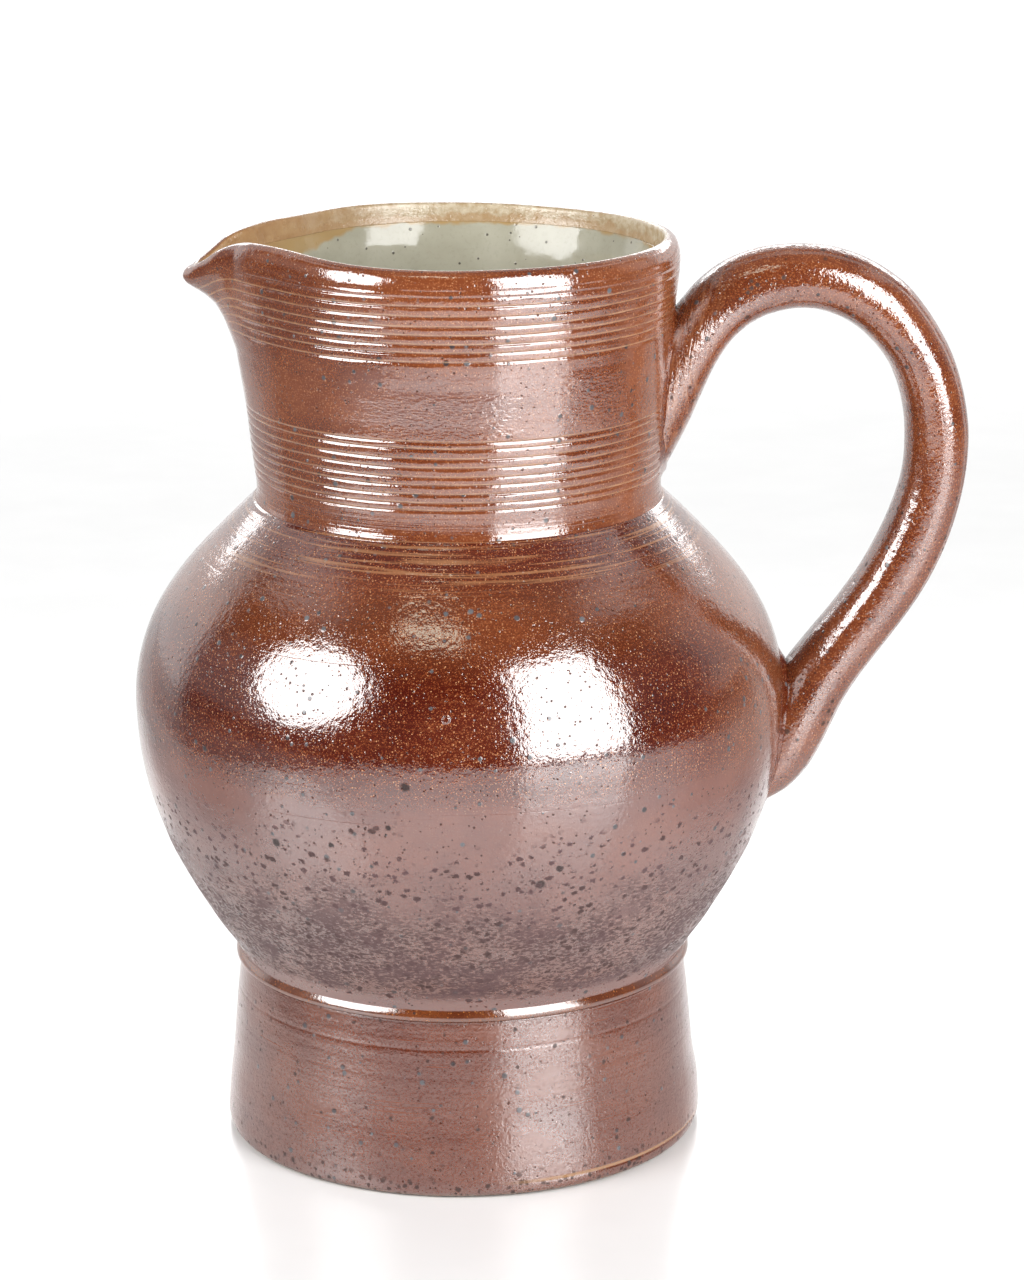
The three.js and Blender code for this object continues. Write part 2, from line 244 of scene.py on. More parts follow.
def pull_spout(r, z, a):
    """Draws the neck's wall out at -X (a = 0) and lets its tip down."""
    deg = np.abs(np.degrees((a + math.pi) % (2 * math.pi) - math.pi))
    mix = sstep(196, 213, z)
    plan = plan_hi(deg) / PLAN_TOP * mix + plan_lo(deg) * (1 - mix)
    rr = r + SPOUT_REACH * rise(z) * plan
    zz = z - SPOUT_DROOP * droop(z) * np.exp(-((deg / 9.0) ** 2))
    lift = np.interp(np.degrees((a + math.pi) % (2 * math.pi) - math.pi), LIFT[:, 0], LIFT[:, 1]) * sstep(212.5, 217.6, z)
    return rr, zz + lift, deg


def wobble(z, a, amp, seed):
    """The slow unevenness of a hand-thrown wall."""
    rng = np.random.RandomState(seed)
    out = 0.0
    for k in range(1, 5):
        p, q, s = rng.uniform(0, 6.28, 3)
        out = out + np.sin(k * a + p + z / (26.0 + 9 * q)) * math.cos(s) / k
    return amp * out


def throwing(z, a, amp, pitch, seed):
    """Spiral finger marks, one turn to a pitch, of uneven depth."""
    rng = np.random.RandomState(seed)
    p, q, s, t = rng.uniform(0, 6.28, 4)
    ph = 2 * math.pi * z / pitch - a
    depth = 0.55 + 0.3 * np.sin(z / 7.3 + p) + 0.25 * np.sin(z / 3.1 + 2 * a + q)
    return amp * depth * (np.sin(ph) + 0.45 * np.sin(2.7 * 2 * math.pi * z / pitch + s) + 0.25 * np.sin(5.3 * 2 * math.pi * z / pitch + t))


def even_cols(m):
    return np.linspace(0, 2 * math.pi, m, endpoint=False)


def crowded_cols(m, k):
    t = np.linspace(0, 2 * math.pi, m, endpoint=False)
    return t - k * np.sin(t)


# ------------------------------------------------------------------ foot

foot_out = path(FOOT_OUT, 0.3)
inside = path(INSIDE, 1.2)
foot_in = inside[inside[:, 1] < FOOT_TOP - 0.4][::-1]
foot_prof = np.vstack([[(0, 0)], [(r, 0) for r in np.linspace(4, 55.6, 26)], foot_out, [(52.5, FOOT_TOP), (47.6, FOOT_TOP)], foot_in, [(30, 7.0), (15, 7.0)], [(0, 7.0)]])
FOOT_LINES = [(35.6, 0.07, 0.34), (28.7, 0.025, 0.3), (25.9, 0.02, 0.25), (24.6, 0.016, 0.25), (20.3, 0.02, 0.3), (13.6, 0.015, 0.3), (9.2, 0.015, 0.3)]


def foot_shape(r, z, a):
    out = (r > 52.8) & (z > 0.9) & (z < FOOT_TOP - 0.05)
    d = throwing(z, a, 0.012, 3.4, 3) + wobble(z, a, 0.16, 4)
    for zz, dep, w in FOOT_LINES:
        line = zz + 0.12 * np.sin(a + zz)
        d = d - dep * (0.65 + 0.35 * np.sin(a + 5.2 + zz)) * np.exp(-(((z - line) / w) ** 2))
    # the clay bulges a little at one place near the table
    ang = (a - math.pi + 0.35 + math.pi) % (2 * math.pi) - math.pi
    d = d + 0.75 * np.exp(-((ang / 0.42) ** 2)) * np.exp(-(((z - 9.5) / 5.5) ** 2))
    fold = (a - 1.22 * math.pi + math.pi) % (2 * math.pi) - math.pi
    d = d - 0.3 * np.exp(-((fold / 0.55) ** 4)) * np.exp(-(((z - 3.0) / 0.42) ** 2))
    edge = sstep(0.9, 2.2, z)
    r = r + np.where(out, d * edge, 0.0)
    # knocks along the bottom edge
    low = (r > 55) & (z < 1.5)
    z = z + np.where(low, 0.12 * np.maximum(0, np.sin(3 * a + 1.0) * np.sin(7 * a)) * sstep(55.0, 57.0, r), 0.0)
    return r, z


foot = lathe("jug_foot", foot_prof, even_cols(240), foot_shape)

# ------------------------------------------------------------------ bead

bead_prof = path([(52.2, 42.2), (53.4, 42.35), (54.2, 42.55), (54.75, 42.85), (55.02, 43.2), (55.1, 43.6), (55.08, 44.0), (54.96, 44.35), (54.77, 44.75), (54.5, 45.2), (54.1, 45.75), (52.2, 45.9)], 0.14)


def bead_shape(r, z, a):
    k = sstep(52.4, 54.0, r)
    r = r + k * wobble(z, a, 0.07, 11)
    z = z + k * 0.1 * np.sin(2 * a + 0.7) + k * 0.06 * np.sin(5 * a)
    return r, z


bead = lathe("jug_foot_bead", bead_prof, even_cols(240), bead_shape)

def drift(z, a):
    """How far a ring wanders up and down on its way round."""
    return 0.09 * np.sin(a + z / 9.0) + 0.06 * np.sin(3 * a + z / 5.0) + 0.03 * np.sin(7 * a + z / 3.0)


# ------------------------------------------------------------------ belly

zb = np.concatenate([np.arange(44.9, 144, 0.55), np.arange(144, 156.2, 0.16)])
belly_out = np.stack([belly_r(zb), zb], 1)
belly_in = inside[(inside[:, 1] > 43.2) & (inside[:, 1] < 157.4)][::-1][::2]
belly_prof = np.vstack([[(47.7, 42.7), (52.4, 42.7), (52.4, 44.4), (53.5, 44.7)], belly_out, [(47.0, 156.3), (45.6, 156.3), (45.6, 158.0), (44.0, 158.0)], belly_in])


def belly_shape(r, z, a):
    out = (z > 44.85) & (r > belly_r(z) - 0.4)
    d = throwing(z, a, 0.009, 5.6, 7) + wobble(z, a, 0.2, 8)
    for zz, dep, w in SHOULDER_LINES:
        d = d - dep * (1 + 0.3 * np.sin(a + 3 * zz) + 0.2 * np.sin(6 * a + zz)) * (0.12 + 0.88 * np.sin(a) ** 4) * np.exp(-(((z - zz) / w) ** 2))
    d = d * sstep(45.4, 48, z) * (1 - 0.0 * z)
    z = z + np.where(out, drift(z, a) * sstep(143, 147, z) * (1 - sstep(155.4, 156.2, z)), 0.0)
    return r + np.where(out, d, 0.0), z


belly = lathe("jug_belly", belly_prof, even_cols(256), belly_shape)

# ------------------------------------------------------------------ neck

CUT = [(-0.12, 0.0), (-0.03, 0.07), (0.05, 0.55), (0.13, 1.0), (0.27, 0.82), (0.41, 0.48), (0.55, 0.17), (0.66, 0.03), (0.82, 0.0)]
zn = [np.arange(154.8, 162.4, 0.28), np.arange(180.6, 196.9, 0.45)]
for zz in GROOVES_LOW + GROOVES_HIGH:
    zn.append(zz + 0.42 - np.array([u for u, d in CUT]))
zn = np.sort(np.concatenate(zn))
gaps = [np.linspace(a, b, int((b - a) / 0.4) + 1, endpoint=False)[1:] for a, b in zip(zn[:-1], zn[1:]) if b - a > 0.5]
zn = np.sort(np.concatenate([zn] + gaps))
zn = zn[zn < 213.1]
zn = zn[np.concatenate([[True], np.diff(zn) > 0.03])]
neck_out = np.stack([neck_r(zn), zn], 1)
rim = path(RIM, 0.35)
neck_in = inside[(inside[:, 1] > 159.0) & (inside[:, 1] < 214.7)][::-1]
neck_prof = np.vstack([[(46.0, 154.8)], neck_out, rim, neck_in, [(44.0, 158.4), (46.0, 158.4)]])


def groove_depth(z, a, deg):
    """Combed lines: each is cut square at its upper edge and runs out to nothing below it."""
    d = 0.0
    at, cut = np.array(CUT).T
    for i, zz in enumerate(GROOVES_LOW + GROOVES_HIGH):
        high = zz > 190
        rng = np.random.RandomState(100 + i)
        p, q, t = rng.uniform(0, 6.28, 3)
        depth = rng.uniform(0.19, 0.3) * (1 + 0.16 * np.sin(2 * a + q) + 0.12 * np.sin(5 * a + p) + 0.1 * np.sin(11 * a + t))
        if zz > 213.5:
            depth = 0.08
        g = depth * np.interp(zz + 0.42 - z, at, cut, left=0.0, right=0.0)
        sway = 0.045 * np.sin(17 * a + 5 * p) + 0.03 * np.sin(31 * a + 3 * q)
        g = g + (sway + 0.05) * np.interp(zz + 0.42 - z, [-0.2, 0.0, 0.5, 0.75], [0.0, 1.0, 1.0, 0.0], left=0.0, right=0.0)
        if high:
            # the lines start where the spout has been drawn out of the wall
            g = g * sstep(14 + 4 * rng.uniform(), 24 + 6 * rng.uniform(), deg)
        else:
            g = g * (0.6 + 0.4 * sstep(20, 50, deg))
        d = np.maximum(d, g)
    for zz, dep, w in ((157.4, 0.05, 0.2), (158.5, 0.035, 0.2), (160.6, 0.03, 0.2)):
        d = d + dep * np.exp(-(((z - zz) / w) ** 2))
    return d


def slack(z, a):
    """The inside opens less steeply at the back left than elsewhere."""
    deg = np.degrees(a % (2 * math.pi))
    f = sstep(18, 34, deg) * (1 - sstep(75, 86, deg))
    return f * np.clip(212.0 - z, 0, 16) * 0.09 * sstep(165, 185, z)


def neck_shape(r, z, a):
    z0 = z
    out = (r > neck_r(np.clip(z, 155, 213.2)) - 0.6) & (z < 215.4) & (r > 47.2)
    r, z, deg = pull_spout(r, z, a)
    combed = np.maximum(sstep(160, 163, z0) * (1 - sstep(179.5, 181.5, z0)), sstep(195, 198, z0))
    d = throwing(z0, a, 0.014, 4.2, 21) * (1 - 0.5 * combed) - groove_depth(z0, a, deg)
    k = sstep(155.0, 157.5, z0) * (1 - sstep(214.2, 215.4, z0))
    r = r + np.where(out, d * k, 0.0)
    r = r + wobble(z0, a, 0.1, 22) * sstep(165, 200, z0)
    z = z + np.where(out, drift(z0, a) * sstep(157, 161, z0) * (1 - sstep(212.5, 214.5, z0)), 0.0)
    inner = (~out) & (z0 > 160) & (z0 < 213) & (r < 60)
    r = r + np.where(inner, slack(z0, a), 0.0)
    return r, z


def neck_lip(r, z, a):
    """1 on the inside of the rim, 0 outside."""
    deg = np.abs(np.degrees((a + math.pi) % (2 * math.pi) - math.pi))
    n = r.shape[0]
    row = np.arange(n)[:, None] + 0 * r
    crest = 1 + len(neck_out) + int(np.argmax(rim[:, 1]))
    return sstep(crest - 3, crest + 3, row)


def neck_crest(r, z, a):
    """1 along the upper edge of each combed line."""
    z0 = np.zeros((r.shape[0], 1))
    z0[1 : 1 + len(neck_out), 0] = neck_out[:, 1]
    k = np.zeros_like(z0)
    for zz in GROOVES_LOW + GROOVES_HIGH:
        k = np.maximum(k, np.interp(zz + 0.42 - z0, [-0.3, -0.1, 0.0, 0.09], [0.0, 1.0, 1.0, 0.0], left=0.0, right=0.0))
    return k + 0 * r


neck = lathe("jug_neck", neck_prof, crowded_cols(240, 0.5), neck_shape, marks={"lip": neck_lip, "crest": neck_crest})

# ------------------------------------------------------------------ glaze lining

lin = inside[inside[:, 1] < 213.6]
t = np.gradient(lin, axis=0)
nrm = np.stack([-t[:, 1], t[:, 0]], 1)
nrm /= np.linalg.norm(nrm, axis=1)[:, None]
skin_a = lin + nrm * 0.08
thin = 0.12 + 0.63 * (1 - sstep(207.5, 213.4, lin[:, 1]))
skin_b = lin + nrm * thin[:, None]
skin_a[-1] = lin[-1] + nrm[-1] * 0.05
edge = np.array([lin[-1] + nrm[-1] * 0.06 + (0.02, 0.2)])
lining_prof = np.vstack([[(0, 7.08)], [(15, 7.08), (30, 7.08)], skin_a, edge, skin_b[::-1], [(30, 7.75), (15, 7.75)], [(0, 7.75)]])


def lining_shape(r, z, a):
    z0 = z
    r, z, deg = pull_spout(r, z, a)
    r = r + wobble(z0, a, 0.1, 22) * sstep(165, 200, z0)
    ring = throwing(z0, a, 0.05, 5.0, 31) * sstep(12, 20, z0)
    return r + ring * 0.6 - 0.03 + slack(z0, a), z


lining = lathe("jug_lining", lining_prof, crowded_cols(192, 0.5), lining_shape)

# ------------------------------------------------------------------ handle

HANDLE = [
    (46.5, 197.6, 46.5, 161.4, 13.0), (49.5, 199.0, 48.4, 162.4, 13.0), (52.3, 202.1, 50.6, 166.3, 12.6), (56.5, 207.1, 54.3, 173.5, 11.8), (61, 210.6, 57.4, 180.8, 11.0),
    (66, 213.2, 60.8, 188, 10.4), (71, 214.7, 64.8, 193.7, 10.1), (76, 215.4, 70.5, 198.2, 9.9), (80.8, 215.5, 77.5, 200.3, 9.8), (86, 215.2, 83.5, 200.4, 9.8),
    (91, 214, 88, 199.2, 9.8), (96, 212.1, 91.8, 197.4, 9.8), (101, 209.2, 95.2, 195, 9.7), (106, 205.4, 98.8, 191.3, 9.7), (110, 200.5, 101.6, 187.4, 9.7),
    (113.8, 194.7, 103.4, 183.2, 9.7), (117, 188.5, 104.8, 178.6, 9.6), (119.5, 180.3, 105.6, 173.8, 9.6), (120.9, 172, 105.8, 169, 9.6), (120.8, 165, 105.7, 164, 9.5),
    (120.1, 158.5, 105, 159.4, 9.5), (118.7, 152, 103.6, 154.6, 9.5), (116.6, 145, 101.5, 149, 9.5), (113.9, 138.4, 98.7, 143.2, 9.5), (110.7, 132.2, 95.6, 137.5, 9.5),
    (107, 126.4, 92.2, 132.6, 9.5), (103, 120.8, 88.6, 127.6, 9.6), (99, 115.4, 84.9, 123.1, 9.8), (95.4, 110.5, 81.9, 119.2, 10.1), (92, 105, 79.3, 115.8, 10.5),
    (89.3, 99.3, 77.3, 112.8, 10.9), (86.5, 93.5, 75, 109, 11.3), (83.4, 88, 72.5, 105, 11.5), (79, 83.4, 70.5, 100, 11.5), (74, 80.3, 68, 96, 11.5)]


def smooth_rows(rows, per):
    p = np.array(rows, float)
    for amount in (0.6, -0.63, 0.6, -0.63):
        q = p.copy()
        q[1:-1] = 0.5 * p[:-2] + 0.5 * p[2:]
        p[2:-2] += 0.5 * amount * (q[2:-2] - p[2:-2])
    p = np.vstack([2 * p[0] - p[1], p, 2 * p[-1] - p[-2]])
    out = []
    for i in range(1, len(p) - 2):
        for k in range(per):
            t = k / per
            a, b, c, d = p[i - 1], p[i], p[i + 1], p[i + 2]
            out.append(0.5 * (2 * b + (c - a) * t + (2 * a - 5 * b + 4 * c - d) * t * t + (3 * b - a - 3 * c + d) * t**3))
    out.append(p[-2])
    return np.array(out)


rows = smooth_rows(HANDLE, 8)
NS = 80
nring = len(rows)
tt = np.linspace(0, 2 * math.pi, NS, endpoint=False)
hv = np.zeros((nring, NS, 3))
s_along = np.concatenate([[0], np.cumsum(np.linalg.norm(np.diff((rows[:, :2] + rows[:, 2:4]) / 2, axis=0), axis=1))])
for i, (ox, oz, ix, iz, half) in enumerate(rows):
    s = s_along[i]
    ex = 2.0 / 2.2
    c = np.sign(np.cos(tt)) * np.abs(np.cos(tt)) ** ex
    n = np.sign(np.sin(tt)) * np.abs(np.sin(tt)) ** ex
    deg = np.degrees(tt)
    # two drawn lines beside the crown of the outer face, and faint ones lower down
    cut = 0.0
    for at, dep, w in ((62, 0.2, 4.2), (118, 0.2, 4.2), (75, 0.07, 3.0), (105, 0.07, 3.0), (330, 0.06, 4), (210, 0.06, 4)):
        dd = (deg - at - 3 * math.sin(s / 31.0 + at) + 180) % 360 - 180
        cut = cut + dep * np.exp(-((dd / w) ** 2))
    scale = 1 + 0.008 * np.sin(3 * tt + s / 17.0) + 0.006 * math.sin(s / 9.0)
    hx, hz = (ox - ix) / 2, (oz - iz) / 2
    hl = math.hypot(hx, hz)
    k = 1 - cut / max(hl, 1e-6)
    hv[i, :, 0] = (ox + ix) / 2 + hx * n * k * scale
    hv[i, :, 1] = half * c * k * scale
    hv[i, :, 2] = (oz + iz) / 2 + hz * n * k * scale
# the ends stop inside the wall
flat = hv.reshape(-1, 3)
rad = np.hypot(flat[:, 0], flat[:, 1])
wall = np.where(flat[:, 2] > 157, neck_r(np.clip(flat[:, 2], 157, 212)), belly_r(np.clip(flat[:, 2], 46, 156))) - 1.6
push = np.where(rad < wall, wall / np.maximum(rad, 1e-6), 1.0)
flat[:, 0] *= push
flat[:, 1] *= push
hf, hu = grid_faces(nring, NS, False)
hf.append(tuple(range(NS)))
hu.append(tuple((0.5 + 0.01 * math.cos(x), 0.5 + 0.01 * math.sin(x)) for x in tt))
hf.append(tuple((nring - 1) * NS + j for j in reversed(range(NS))))
hu.append(tuple((0.5 + 0.01 * math.cos(x), 0.5 + 0.01 * math.sin(x)) for x in reversed(tt)))
handle = mesh_object("jug_handle", flat, hf, hu)
at = handle.data.attributes.new("along", "FLOAT", "POINT")
at.data.foreach_set("value", np.repeat(s_along, NS))
at = handle.data.attributes.new("around", "FLOAT", "POINT")
at.data.foreach_set("value", np.tile(np.minimum(tt, 2 * math.pi - tt) * 8.5, nring))

# ------------------------------------------------------------------ luting clay


def lute(name, wall, zc, half_z, half_y, root_z, root_y, height, seed):
    """Clay smeared into the corner round an end of the handle: thick at the handle, thin at its edge."""
    rng = np.random.RandomState(seed)
    m, rings = 120, 26
    ang = np.linspace(0, 2 * math.pi, m, endpoint=False)
    ragged = 1 + 0.05 * np.sin(3 * ang + rng.uniform(0, 6)) + 0.04 * np.sin(7 * ang + rng.uniform(0, 6)) + 0.025 * np.sin(13 * ang + rng.uniform(0, 6))
    top, under = [], []
    for i in range(1, rings + 1):
        f = i / rings
        y = half_y * f * np.cos(ang) * ragged
        z = zc + half_z * f * np.sin(ang) * ragged
        rho = np.sqrt((y / root_y) ** 2 + ((z - zc) / root_z) ** 2)
        beyond = np.maximum(0, rho - 1) * (root_y + root_z) / 2
        h = height * np.exp(-beyond / 1.5) * (1 - sstep(0.86, 1.0, f)) + 0.05 * (1 - sstep(0.9, 1.0, f)) - 0.1 * sstep(0.9, 1, f)
        h = h + 0.06 * np.sin(9 * ang + 4 * f) * np.exp(-beyond / 1.6) * (1 - sstep(0.8, 1.0, f))
        r = wall(z)
        for rr, store in ((r + h, top), (r - 0.9, under)):
            store.append(np.stack([np.sqrt(np.maximum(rr**2 - y**2, 1)), y, z], 1))
    centre = [[float(wall(np.array([zc]))[0]) + height, 0, zc], [float(wall(np.array([zc]))[0]) - 0.9, 0, zc]]
    v = np.vstack(top + under + [np.array(centre)])
    faces, uvs = [], []
    f1, u1 = grid_faces(rings, m, False)
    f2, u2 = grid_faces(rings, m, False, rings * m)
    faces += f1 + [tuple(reversed(f)) for f in f2]
    uvs += u1 + [tuple(reversed(u)) for u in u2]
    c0, c1 = 2 * rings * m, 2 * rings * m + 1
    for j in range(m):
        k = (j + 1) % m
        faces.append((c0, k, j))
        uvs.append(((0.5, 0), (0.5, 0.01), (0.5, 0.01)))
        faces.append((c1, rings * m + j, rings * m + k))
        uvs.append(((0.5, 0), (0.5, 0.01), (0.5, 0.01)))
        a, b = (rings - 1) * m, (2 * rings - 1) * m
        faces.append((a + j, a + k, b + k, b + j))
        uvs.append(((0, 1), (0.01, 1), (0.01, 0.99), (0, 0.99)))
    return mesh_object(name, v, faces, uvs)


upper = lute("jug_upper_lute", neck_r, 181.0, 21.5, 15.5, 19.0, 12.4, 1.0, 5)
lower = lute("jug_lower_lute", belly_r, 97.8, 20.5, 15.0, 17.6, 11.2, 1.0, 6)

# ------------------------------------------------------------------ materials


class Mat:
    def __init__(self, name):
        self.m = bpy.data.materials.new(name)
        self.m.use_nodes = True
        self.t = self.m.node_tree
        self.t.nodes.clear()
        self.out = self.t.nodes.new("ShaderNodeOutputMaterial")
        self.bsdf = self.t.nodes.new("ShaderNodeBsdfPrincipled")
        self.t.links.new(self.bsdf.outputs[0], self.out.inputs[0])
        self.obj = self.t.nodes.new("ShaderNodeTexCoord").outputs["Object"]
        self.mm = self.vmul(self.obj, (1000, 1000, 1000))

    def put(self, sock, v):
        if isinstance(v, bpy.types.NodeSocket):
            self.t.links.new(v, sock)
        else:
            sock.default_value = v

    def vmul(self, v, k):
        n = self.t.nodes.new("ShaderNodeVectorMath")
        n.operation = "MULTIPLY"
        self.put(n.inputs[0], v)
        n.inputs[1].default_value = k
        return n.outputs[0]

    def vadd(self, v, w):
        n = self.t.nodes.new("ShaderNodeVectorMath")
        n.operation = "ADD"
        self.put(n.inputs[0], v)
        self.put(n.inputs[1], w)
        return n.outputs[0]

    def xyz(self, v):
        n = self.t.nodes.new("ShaderNodeSeparateXYZ")
        self.put(n.inputs[0], v)
        return n.outputs

    def pack(self, x, y, z):
        n = self.t.nodes.new("ShaderNodeCombineXYZ")
        for s, v in zip(n.inputs, (x, y, z)):
            self.put(s, v)
        return n.outputs[0]

    def attr(self, name):
        n = self.t.nodes.new("ShaderNodeAttribute")
        n.attribute_name = name
        return n.outputs["Fac"]

    def math(self, op, a, b=None, c=None, clamp=False):
        n = self.t.nodes.new("ShaderNodeMath")
        n.operation = op
        n.use_clamp = clamp
        for s, v in zip(n.inputs, (a, b, c)):
            if v is not None:
                self.put(s, v)
        return n.outputs[0]

    def mul(self, a, b):
        return self.math("MULTIPLY", a, b)

    def add(self, a, b):
        return self.math("ADD", a, b)

    def noise(self, v, size, detail=2.0, rough=0.5, distort=0.0):
        n = self.t.nodes.new("ShaderNodeTexNoise")
        self.put(n.inputs["Vector"], v)
        n.inputs["Scale"].default_value = 1.0 / size
        n.inputs["Detail"].default_value = detail
        n.inputs["Roughness"].default_value = rough
        n.inputs["Distortion"].default_value = distort
        return n.outputs["Fac"]

    def cells(self, v, size, feature="F1", smooth=None, rand=1.0):
        n = self.t.nodes.new("ShaderNodeTexVoronoi")
        n.feature = feature
        self.put(n.inputs["Vector"], v)
        n.inputs["Scale"].default_value = 1.0 / size
        n.inputs["Randomness"].default_value = rand
        if smooth is not None:
            n.inputs["Smoothness"].default_value = smooth
        return n.outputs["Distance"], n.outputs["Color"]

    def fit(self, v, a, b, lo=0.0, hi=1.0, kind="SMOOTHSTEP"):
        n = self.t.nodes.new("ShaderNodeMapRange")
        n.interpolation_type = kind
        self.put(n.inputs["Value"], v)
        self.put(n.inputs["From Min"], a)
        self.put(n.inputs["From Max"], b)
        n.inputs["To Min"].default_value = lo
        n.inputs["To Max"].default_value = hi
        return n.outputs["Result"]

    def mix(self, f, a, b, mode="MIX"):
        n = self.t.nodes.new("ShaderNodeMix")
        n.data_type = "RGBA"
        n.blend_type = mode
        n.clamp_factor = True
        self.put(n.inputs[0], f)
        self.put(n.inputs[6], a if isinstance(a, bpy.types.NodeSocket) else (*a, 1.0))
        self.put(n.inputs[7], b if isinstance(b, bpy.types.NodeSocket) else (*b, 1.0))
        return n.outputs[2]

    def bump(self, height, strength=1.0):
        """height in millimetres"""
        n = self.t.nodes.new("ShaderNodeBump")
        n.inputs["Strength"].default_value = strength
        n.inputs["Distance"].default_value = 0.001
        self.put(n.inputs["Height"], height)
        return n.outputs[0]

    def spots(self, v, cell, share, small, large, soft=0.35):
        """Scattered round spots: cell in mm, the share of cells that has one, and their radii in mm."""
        d, c = self.cells(v, cell)
        ch = self.t.nodes.new("ShaderNodeSeparateColor")
        self.put(ch.inputs[0], c)
        d = self.mul(d, cell)
        size = self.fit(ch.outputs[1], 0.0, 1.0, small, large, "LINEAR")
        here = self.math("LESS_THAN", ch.outputs[0], share)
        inner = self.mul(size, soft)
        m = self.t.nodes.new("ShaderNodeMapRange")
        m.interpolation_type = "SMOOTHSTEP"
        self.put(m.inputs["Value"], d)
        self.put(m.inputs["From Min"], inner)
        self.put(m.inputs["From Max"], size)
        m.inputs["To Min"].default_value = 1.0
        m.inputs["To Max"].default_value = 0.0
        return self.mul(m.outputs["Result"], here), ch.outputs[2]


GLAZE_IOR = 2.4


